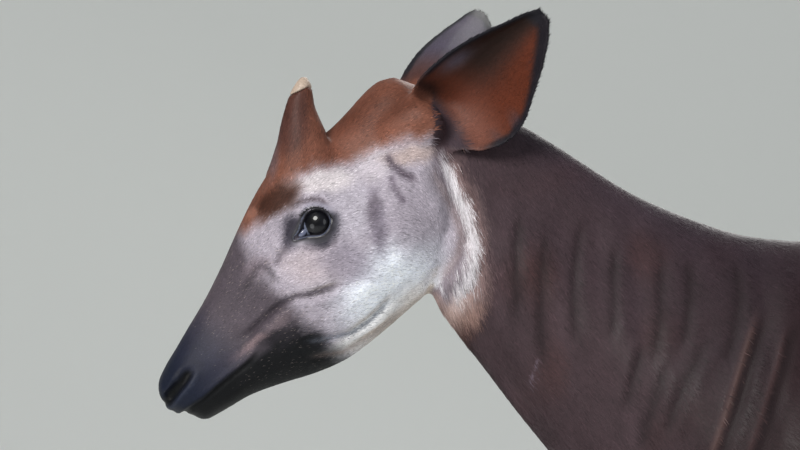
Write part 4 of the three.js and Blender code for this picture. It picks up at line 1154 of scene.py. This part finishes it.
# %% Grow the coat
# Name, region, slot, tufts, length, width and lift of each piece of the coat
COATS = [
    ("coat_head_left", "head", "face_coat", 44_000, 0.0046, 0.0009, 0.060),
    ("coat_head_right", "head", "face_coat", 44_000, 0.0046, 0.0009, 0.060),
    ("coat_ears", "ears", "ear_coat", 30_000, 0.0055, 0.0009, 0.070),
    ("coat_neck", "neck", "coat", 49_500, 0.0105, 0.0016, 0.035),
    ("coat_body_left", "body", "coat", 49_500, 0.0150, 0.0024, 0.030),
    ("coat_body_right", "body", "coat", 49_500, 0.0150, 0.0024, 0.030),
    ("coat_forelegs", "fore", "pale_coat", 42_000, 0.0085, 0.0015, 0.045),
    ("coat_hindlegs", "hind", "pale_coat", 49_500, 0.0095, 0.0017, 0.045),
    ("coat_tail", "tail", "coat", 7_000, 0.0110, 0.0015, 0.090),
    ("coat_band", "band", "pale_coat", 9_000, 0.0200, 0.0011, 0.030),
]
# How far the hairs of one colour stray among those of the next, in metres
SPILL = {"head": 0.0022, "ears": 0.0, "neck": 0.0035}
SPILL_ELSEWHERE = 0.003
middles = skin_points[skin_triangles].mean(axis=1)
spans = np.cross(skin_points[skin_triangles[:, 1]] - skin_points[skin_triangles[:, 0]],
                 skin_points[skin_triangles[:, 2]] - skin_points[skin_triangles[:, 0]])
areas = np.linalg.norm(spans, axis=1) / 2
owner = regions(middles)
eye_away = np.linalg.norm((mirrored(middles) - np.array(EYE)), axis=1)
muzzle_back, _ = on_head(middles)
head_density = ramp(eye_away, 0.026, 0.034) * (0.25 + 0.75 * ramp(muzzle_back, 0.03, 0.09))
density = np.where(owner == "head", head_density, 1)
mouth_gap, _ = path_field(mirrored(middles), FOLD_PATHS["mouth"], 0.02)
nostril_gap, _ = path_field(mirrored(middles), FOLD_PATHS["nostril"], 0.02)
density = density * ramp(np.minimum(np.abs(mouth_gap), np.abs(nostril_gap)), 0.004, 0.008)
for name in ("neck fold 7", "neck fold 8"):
    fold_gap, _ = path_field(mirrored(middles), FOLD_PATHS[name], 0.03)
    density = density * (0.12 + 0.88 * ramp(np.abs(fold_gap - 0.005), 0.010, 0.018))
for number, (name, region, slot_name, count, length, width, lift) in enumerate(COATS):
    rng = np.random.default_rng(100 + number)
    inside = owner == region
    if name.endswith("left"):
        inside = inside & (middles[:, 1] < 0)
    if name.endswith("right"):
        inside = inside & (middles[:, 1] >= 0)
    chance = areas * density * inside
    chosen = np.searchsorted(np.cumsum(chance), rng.uniform(0, chance.sum(), count))
    mix = rng.dirichlet((1, 1, 1), count)
    corner_rows = skin_triangles[chosen]
    roots = (skin_points[corner_rows] * mix[:, :, None]).sum(axis=1)
    normals = (skin_normals[corner_rows] * mix[:, :, None]).sum(axis=1)
    normals /= np.linalg.norm(normals, axis=1, keepdims=True)
    size = np.ones(count)
    if region == "head":
        back, height = on_head(roots)
        size = 0.55 + 0.45 * ramp(back, 0.05, 0.25)
    if region == "fore" or region == "hind":
        size = 0.6 + 0.4 * ramp(roots[:, 2], 0.12, 0.7)
    spill = rng.normal(0, 1, (count, 3)) * SPILL.get(region, SPILL_ELSEWHERE)
    tones = colour_at(roots + spill, normals)
    if region == "head":
        pale = rng.uniform(0, 1, count) < 0.05 * (1 - ramp(back, 0.20, 0.26)) * ramp(back, 0.05, 0.10)
        tones[pale] = 0.45 * tones[pale] + 0.55 * np.array((0.60, 0.55, 0.52))
    grow(name, roots, normals, tones, length * size, width * (0.4 + 0.6 * size), lift,
         map_place(roots, region), rng, vary=0.14 if region == "head" else 0.08)

# %% [markdown]
# ## Eyes
# An okapi's eye is nearly black, with a level pupil, and a clear wet cornea bulges over it. A ready sphere
# would do for the shape, but its rings would not lie round the line of sight. So the ball is turned on
# that line, and rings of colour become pupil, iris and the pale rim of the white.

# %% Eyeballs
EYE_RADIUS = 0.0225
CORNEA = 0.0013
RINGS, SECTORS = 62, 72


def eye_frame(side):
    """Centre of an eye, its line of sight, and the ways back and up across it."""
    centre = np.array((EYE[0], -side * EYE[1], EYE[2]))
    look = np.array((-0.3, side * 0.94, 0.08))
    look /= np.linalg.norm(look)
    backward = np.cross(look, (0, 0, 1)) * side
    backward /= np.linalg.norm(backward)
    return centre, look, backward, np.cross(backward, look) * side


def grid_faces(rows, columns, closed=True):
    """Quads between rows of points, closed round into a ring where asked."""
    a = np.arange(rows - 1)[:, None] * columns
    b = np.arange(columns if closed else columns - 1)[None]
    c = (b + 1) % columns
    return np.stack([a + b, a + c, a + columns + c, a + columns + b], axis=-1).reshape(-1, 4)


def as_triangles(quads):
    return np.vstack([quads[:, [0, 1, 2]], quads[:, [0, 2, 3]]])


def outward(points, triangles, middle):
    """The triangles turned so that they face away from a point."""
    a, b, c = (points[triangles[:, k]] for k in range(3))
    inward = ((np.cross(b - a, c - a)) * ((a + b + c) / 3 - middle)).sum(axis=1) < 0
    triangles = triangles.copy()
    triangles[inward] = triangles[inward][:, ::-1]
    return triangles


def add_piece(name, points, triangles, look, slot_name, colours=None, nodes=()):
    """A finished piece that takes the place of its nodes, if any."""
    mesh = make_mesh(name, points + SHIFT, triangles)
    mesh.shade_smooth()
    if colours is not None:
        dress(mesh, colours)
    mesh.materials.append(look)
    made = bpy.data.objects.new(name, mesh)
    bpy.context.collection.objects.link(made)
    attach(made, "root")
    if nodes:
        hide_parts(*nodes)
    return made


wet_eye = material("Eye", tinted=True, roughness=0.35, size=900, tone=0.08, Coat_Weight=0.8,
                   Coat_Roughness=0.02, Coat_IOR=1.38, Specular_IOR_Level=0.1)
wet_look = material("Wet lid corner", tinted=True, roughness=0.22, size=900, tone=0.12, Coat_Weight=0.6)
for label, side in (("left", -1), ("right", 1)):
    centre, look, backward, up = eye_frame(side)
    tilt = np.linspace(0.0, math.pi, RINGS + 2)[1:-1]
    turn = np.linspace(0, 2 * math.pi, SECTORS, endpoint=False)
    tilt, turn = (grid.ravel() for grid in np.meshgrid(tilt, turn, indexing="ij"))
    bulge = EYE_RADIUS + CORNEA * (1 - ramp(tilt, 0.55, 0.98))
    u, v, w = np.sin(tilt) * np.cos(turn), np.sin(tilt) * np.sin(turn), np.cos(tilt)
    ball = (u[:, None] * backward + v[:, None] * up + w[:, None] * look) * bulge[:, None]
    poles = np.array([look * (EYE_RADIUS + CORNEA), -look * EYE_RADIUS])
    count = len(ball)
    rim = np.arange(SECTORS)
    next_one = (rim + 1) % SECTORS
    caps = np.vstack([
        np.column_stack([np.full(SECTORS, count), rim, next_one]),
        np.column_stack([np.full(SECTORS, count + 1), count - SECTORS + rim, count - SECTORS + next_one])])
    points = np.vstack([ball, poles]) + centre
    u, v = (np.append(place, (0, 0)) * EYE_RADIUS * 1000 for place in (u, v))
    tilt = np.append(tilt, (0, math.pi))
    turn = np.append(turn, (0, 0))
    faces = outward(points, np.vstack([as_triangles(grid_faces(RINGS, SECTORS)), caps]), centre)
    pupil = 1 - ramp(np.hypot(u / 8.5, v / 5.6), 0.88, 1.08)
    rays = 0.5 + 0.5 * np.sin(turn * 29 + 2 * np.sin(turn * 7))
    iris = np.outer(0.75 + 0.5 * rays, (0.040, 0.040, 0.062))
    colours = paint(iris, (0.010, 0.010, 0.020), pupil)
    colours = paint(colours, (0.025, 0.022, 0.030), ramp(tilt, 0.80, 0.92))
    colours = paint(colours, (0.42, 0.41, 0.47), 0.85 * ramp(tilt, 0.985, 1.04))
    third = ramp(-u - 0.35 * v, 11.5, 13.0) * (v < 2)
    colours = paint(colours, (0.47, 0.50, 0.58), 0.9 * third)
    add_piece("eye_" + label + "_ball", points, faces, wet_eye, "eye", colours, ("eye_" + label,))
print("eyes in place")

# %% [markdown]
# ## Lids and lashes
# Lids roll over the eyeball with a wet margin and run out into the face. A ring modelled by hand would
# never meet a skin that a remesh has made, so each lid is a strip lofted round the almond gap: it starts
# against the eyeball, rises over the margin, and every further row is laid on the skin by a ray. A
# bluish third lid fills the inner corner, and short lashes stand on the upper edge.

# %% Hairs along curves
def strands(curves, width, rng):
    """Three-sided tapering hairs along rows of points: curves has one row of places per hair."""
    count, steps, _ = curves.shape
    along = np.gradient(curves, axis=1)
    along /= np.linalg.norm(along, axis=2, keepdims=True)
    any_way = rng.normal(size=(count, 1, 3))
    side = np.cross(along, any_way)
    side /= np.linalg.norm(side, axis=2, keepdims=True)
    third = np.cross(along, side)
    taper = (1 - np.linspace(0, 1, steps) ** 2.2)[None, :, None] * width[:, None, None] + 0.00008
    ring = [curves + taper * (math.cos(a) * side + math.sin(a) * third) for a in (0, 2.094, 4.189)]
    points = np.stack(ring, axis=2).reshape(count, steps * 3, 3)
    one = [(s * 3 + k, s * 3 + (k + 1) % 3, (s + 1) * 3 + (k + 1) % 3, (s + 1) * 3 + k)
           for s in range(steps - 1) for k in range(3)]
    one = as_triangles(np.array(one))
    caps = np.array([(2, 1, 0), (steps * 3 - 3, steps * 3 - 2, steps * 3 - 1)])
    faces = np.vstack([one, caps])
    faces = (faces[None] + points.shape[1] * np.arange(count)[:, None, None]).reshape(-1, 3)
    return points.reshape(-1, 3), faces


LASHES = 110
lash_look = material("Lashes", tinted=True, roughness=0.4, size=900, tone=0.1)
print("lashes to each eye:", LASHES)

# %% [markdown]
# The gap of the lids is an almond with its inner corner drawn down, in mm from the middle of the eye. Each
# row of the strip goes a little further out from it, first over the margin and then over the skin.

# %% Lids and lashes
LID_LINE = np.array([
    (-27, -22), (-20, -11), (-15.5, 0), (-11, 9), (-4, 15), (4, 16.5), (12, 14), (18, 8),
    (20.5, 0), (18.5, -8), (13, -14.5), (5, -17.5), (-5, -18), (-16, -20)]) / 1000
LID_STEPS = 112
# Rows of the strip: distance out from the gap's edge and height over the skin, in mm
LID_ROWS = [(-2.6, None), (-1.6, -2.6), (-0.7, -1.2), (0.2, -0.2), (1.2, 0.45), (2.4, 0.60), (4.0, 0.45),
            (6.0, 0.35), (8.5, 0.25), (11.0, -0.10), (13.0, -1.2)]
LASH_ROW = 4
PAD_RINGS, PAD_SECTORS = 14, 24


def closed_curve(corners, count):
    """Smooth closed curve through these corners."""
    places = np.arange(len(corners) + 6) - 3
    wrapped = corners[places % len(corners)]
    t = np.linspace(0, len(corners), count, endpoint=False)
    base = np.floor(t).astype(int)
    f = (t - base)[:, None]
    p0, p1, p2, p3 = (wrapped[base + 3 + k] for k in (-1, 0, 1, 2))
    bend = (2 * p0 - 5 * p1 + 4 * p2 - p3) * f ** 2
    return 0.5 * (2 * p1 + (p2 - p0) * f + bend + (3 * p1 - p0 - 3 * p2 + p3) * f ** 3)


def even_ring(values, passes=4):
    """Values round a ring, evened out among neighbours."""
    for step in range(passes):
        values = (np.roll(values, 1) + 2 * values + np.roll(values, -1)) / 4
    return values


for label, side in (("left", -1), ("right", 1)):
    centre, look, backward, up = eye_frame(side)
    line = closed_curve(LID_LINE, LID_STEPS)
    tangent = np.roll(line, -1, axis=0) - np.roll(line, 1, axis=0)
    out = np.column_stack([-tangent[:, 1], tangent[:, 0]])
    out /= np.linalg.norm(out, axis=1, keepdims=True)
    out *= np.sign((out * line).sum())
    for k in range(3):
        out = (np.roll(out, 1, axis=0) + out + np.roll(out, -1, axis=0)) / 3
    rows = []
    over = {}
    for away, rise in LID_ROWS:
        spot = line + out * away / 1000
        if rise is not None and away > 0.5:
            heights = []
            for u, v in spot:
                start = centre + backward * u + up * v + look * 0.06
                hit = skin_tree.ray_cast(Vector(start), Vector(-look), 0.08)[0]
                heights.append(np.nan if hit is None else (np.array(hit) - centre) @ look)
            heights = np.array(heights)
            gaps = np.isnan(heights)
            heights[gaps] = np.interp(np.flatnonzero(gaps), np.flatnonzero(~gaps), heights[~gaps])
            over[away] = even_ring(heights)
    first = over[min(over)]
    for away, rise in LID_ROWS:
        spot = line + out * away / 1000
        reach = np.hypot(spot[:, 0], spot[:, 1])
        ball_height = np.sqrt(np.maximum((EYE_RADIUS + 0.0002) ** 2 - reach ** 2, 0))
        if rise is None:
            height_here = np.where(ball_height > 0.004, ball_height, first - 0.007)
            height_here = even_ring(np.minimum(height_here, first - 0.002), 2)
        else:
            height_here = over.get(away, first) + rise / 1000
        rows.append(centre + spot[:, :1] * backward + spot[:, 1:] * up + height_here[:, None] * look)
    strip = np.vstack(rows)
    faces = as_triangles(grid_faces(len(LID_ROWS), LID_STEPS))
    a, b, c = (strip[faces[:, k]] for k in range(3))
    if (np.cross(b - a, c - a) @ look).mean() < 0:
        faces = faces[:, ::-1]
    normals = corner_normals(strip, faces)
    colours = colour_at(strip, normals)
    away = np.repeat([row[0] for row in LID_ROWS], LID_STEPS)
    top = np.tile(ramp(line[:, 1], 0.004, 0.014), len(LID_ROWS))
    colours = paint(colours, (0.09, 0.08, 0.10), 1 - ramp(away, 2.0 - 0.6 * top, 5.5 - 3.5 * top))
    # Painted reflection: a pale blue line along the wet margin, mostly on the lower lid
    colours = paint(colours, (0.46, 0.50, 0.60), 0.7 * bell(away - 0.2, 0.9) * (1 - 0.85 * top))
    colours = paint(colours, (0.58, 0.57, 0.63), 0.75 * top * bell(away - 5.0, 2.6))
    add_piece("lids_" + label, strip, faces, lid_look, "face_coat", colours)
    tilts = np.linspace(0.15, 2.9, PAD_RINGS)
    turns = np.linspace(0, 2 * math.pi, PAD_SECTORS, endpoint=False)
    pad_tilt, pad_turn = (grid.ravel() for grid in np.meshgrid(tilts, turns, indexing="ij"))
    pad_middle = centre + backward * -0.0185 + up * -0.0145 + look * min(first[0] - 0.0058, 0.017)
    pad = (np.sin(pad_tilt) * np.cos(pad_turn) * 0.0085)[:, None] * (backward * 0.80 + up * 0.60)
    pad = pad + (np.sin(pad_tilt) * np.sin(pad_turn) * 0.0050)[:, None] * (up * 0.80 - backward * 0.60)
    pad = pad + (np.cos(pad_tilt) * 0.0040)[:, None] * look + pad_middle
    ends = [[(start, start + k, start + k + 1) for k in range(1, PAD_SECTORS - 1)]
            for start in (0, (PAD_RINGS - 1) * PAD_SECTORS)]
    pad_faces = np.vstack([as_triangles(grid_faces(PAD_RINGS, PAD_SECTORS)), *ends])
    pad_faces = outward(pad, pad_faces, pad_middle)
    pad_tone = np.tile((0.36, 0.38, 0.47), (len(pad), 1))
    add_piece("third_lid_" + label, pad, pad_faces, wet_look, "face_coat", pad_tone)
    rng = np.random.default_rng(17)
    upper = np.flatnonzero(line[:, 1] > 0.006)
    lash = upper[rng.integers(0, len(upper), LASHES)]
    begin = rows[LASH_ROW][lash] - look * 0.0006 + rng.normal(0, 0.0003, (LASHES, 3))
    fan = out[lash, :1] * backward + out[lash, 1:] * up
    sweep = look * 0.85 + 0.45 * fan - 0.25 * up + rng.normal(0, 0.10, (LASHES, 3))
    long = rng.uniform(0.0045, 0.0085, LASHES)[:, None, None]
    t = np.linspace(0, 1, 6)[None, :, None]
    curves = begin[:, None] + long * (sweep[:, None] * t + fan[:, None] * 0.35 * t ** 2 - up * 0.15 * t ** 2)
    points, faces = strands(curves, rng.uniform(0.00016, 0.00024, LASHES), rng)
    add_piece("lashes_" + label, points, faces, lash_look, "face_coat", np.full((len(points), 3), 0.045))
print("lids of", len(strip), "points each")

# %% [markdown]
# ## Horn and hooves
# Only the tips of an okapi's horns are bare, and its hooves are plain dark horn. Both keep the shape of
# their solids. A bevel would only round the edges between facets, so each one is remeshed finely and
# smoothed, and the flat sole is held still.

# %% Hooves and horn tips
def refined(name, voxel, steps, swell):
    """The solid of a node, remeshed, smoothed and swollen back to its size."""
    points, triangles = welded(*arrays(frame["nodes"][name].data))
    points = points - SHIFT
    source = bpy.data.objects.new(name + "_fine", make_mesh(name + "_fine", points, triangles))
    bpy.context.collection.objects.link(source)
    remesh = source.modifiers.new("voxels", "REMESH")
    remesh.mode = "VOXEL"
    remesh.voxel_size = voxel
    evaluated = source.evaluated_get(bpy.context.evaluated_depsgraph_get())
    points, triangles = arrays(evaluated.to_mesh())
    evaluated.to_mesh_clear()
    bpy.data.objects.remove(source)
    table = neighbours_of(triangles, len(points))
    held = 0.6 * ramp(points[:, 2], 0.0015, 0.006)[:, None]
    soft = smoothed(points, table, steps, held)
    soft[:, 2] = np.maximum(soft[:, 2], 0)
    sole = points[:, 2] < 0.0015
    soft[sole, 2] = 0.0
    return soft + corner_normals(soft, triangles) * swell * (soft[:, 2:] > 0.004), triangles


for name in frame["nodes"]:
    if name.startswith("hoof_"):
        add_piece(name + "_horn", *refined(name, 0.0026, 10, 0.0004), hoof_look, "hoof", None, (name,))
    if name.startswith("ossicone_tip_"):
        add_piece(name + "_bare", *refined(name, 0.0012, 12, 0.0003), horn_look, "bare_horn", None, (name,))
print("hooves and horn tips refined")

# %% [markdown]
# ## Tail brush
# The tail ends in a brush of long dark hair that narrows to a soft point. Each hair is a three-sided
# strand along a curve that swells out and closes in again, and starts somewhere on the last of the dock.

# %% Tail brush
rng = np.random.default_rng(7)
HAIRS, HAIR_STEPS = 760, 7
low, high = (np.array(corner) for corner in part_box("tail_tuft"))
middle_x, top, bottom = (low[0] + high[0]) / 2 - SHIFT[0], high[2], low[2]
turn = rng.uniform(0, 2 * math.pi, HAIRS)
out = np.column_stack([np.cos(turn), np.sin(turn), np.zeros(HAIRS)])
spread_out = rng.uniform(0.2, 1.0, HAIRS) ** 0.6
begin = top + 0.022 - 0.075 * rng.uniform(0, 1, HAIRS)
finish_at = bottom + 0.034 * rng.uniform(0, 1, HAIRS) ** 1.5
t = np.linspace(0, 1, HAIR_STEPS)[None, :, None]
swelling = np.sin(np.pi * np.clip(t * 0.95 + 0.02, 0, 1)) ** 0.8
radius = 0.0065 + (0.0115 * spread_out)[:, None, None] * swelling - 0.003 * t
wander = rng.normal(0, 0.0022, (HAIRS, 1, 3)) * t ** 1.5
curves = out[:, None] * radius + wander
curves[:, :, 0] += middle_x
curves[:, :, 2] += begin[:, None] + (finish_at - begin)[:, None] * t[0, :, 0][None]
curves[:, :, 2] = np.maximum(curves[:, :, 2], bottom)
points, faces = strands(curves, rng.uniform(0.0007, 0.0012, HAIRS), rng)
hair_tone = np.repeat(rng.uniform(0.85, 1.25, HAIRS), 3 * HAIR_STEPS)[:, None] * (0.13, 0.10, 0.095)
add_piece("tail_brush", points, faces, tail_look, "tail_hair", hair_tone, ("tail_tuft",))
print("tail brush:", len(faces), "triangles")

# %% [markdown]
# ## Studio
# The hide is dark and the face nearly white, so the light is broad and soft. One large lamp stands
# in front and above, a weaker one fills in from behind the shoulder, and one behind draws the thin
# pale line along the neck. The backdrop is one sheet that curves up from the floor.

# %% Backdrop and lights
def studio_sheet():
    """A floor that bends up into a wall behind the animal."""
    steps = 24
    profile = [(-9.0, 0.0), (3.2, 0.0)]
    turns = np.linspace(0, math.pi / 2, steps)[1:]
    profile += [(3.2 + 1.6 * math.sin(a), 1.6 - 1.6 * math.cos(a)) for a in turns]
    profile += [(4.8, 7.0)]
    points = [(x, y, z) for y, z in profile for x in (-9.0, 9.0)]
    faces = [(2 * k, 2 * k + 1, 2 * k + 3, 2 * k + 2) for k in range(len(profile) - 1)]
    mesh = make_mesh("studio", points, faces)
    mesh.shade_smooth()
    return mesh


paper = bpy.data.materials.new("Studio paper")
paper.use_nodes = True
paper.node_tree.nodes["Principled BSDF"].inputs["Base Color"].default_value = (*linear((0.86, 0.87, 0.86)), 1)
paper.node_tree.nodes["Principled BSDF"].inputs["Roughness"].default_value = 0.9
sheet = bpy.data.objects.new("studio", studio_sheet())
sheet.data.materials.append(paper)
bpy.context.collection.objects.link(sheet)

LAMPS = [
    ("front", (-2.4, -3.6, 3.9), 2.0, 215, (1.0, 0.98, 0.95)),
    ("fill", (2.6, -3.4, 2.2), 3.0, 45, (0.94, 0.97, 1.0)),
    ("behind", (0.6, 2.4, 3.8), 1.8, 80, (1.0, 0.99, 0.97)),
    ("low", (-2.6, -2.0, 0.7), 1.4, 14, (0.96, 0.98, 1.0)),
]
target = Vector((-0.4, 0, 1.4)) + Vector(SHIFT)
for name, place, size, energy, colour in LAMPS:
    lamp = bpy.data.lights.new(name, "AREA")
    lamp.shape = "DISK"
    lamp.size = size
    lamp.energy = energy
    lamp.color = colour
    stand = bpy.data.objects.new("lamp_" + name, lamp)
    stand.location = Vector(place) + Vector(SHIFT)
    stand.rotation_euler = (target - stand.location).to_track_quat("-Z", "Y").to_euler()
    bpy.context.collection.objects.link(stand)
world = bpy.data.worlds.new("Studio")
world.use_nodes = True
world.node_tree.nodes["Background"].inputs["Color"].default_value = (0.86, 0.90, 0.95, 1)
world.node_tree.nodes["Background"].inputs["Strength"].default_value = 0.26
bpy.context.scene.world = world
bpy.context.scene.view_settings.view_transform = "Standard"
print("lamps:", len(LAMPS))

# %% [markdown]
# ## Camera
# The picture was taken from the animal's left with a long lens, level with its cheek. The same view
# frames the head and neck, and the body goes out of the picture on the right.

# %% Camera
VIEW_WIDTH = 1.024
DISTANCE = 6.0
camera = bpy.data.cameras.new("camera")
camera.sensor_width = 36
camera.lens = camera.sensor_width * DISTANCE / VIEW_WIDTH
eye_level = bpy.data.objects.new("camera", camera)
eye_level.location = Vector((-0.512, -DISTANCE, 1.5792)) + Vector(SHIFT)
eye_level.rotation_euler = (math.radians(90), 0, 0)
bpy.context.collection.objects.link(eye_level)
bpy.context.scene.camera = eye_level
print("lens:", round(camera.lens, 1), "mm")
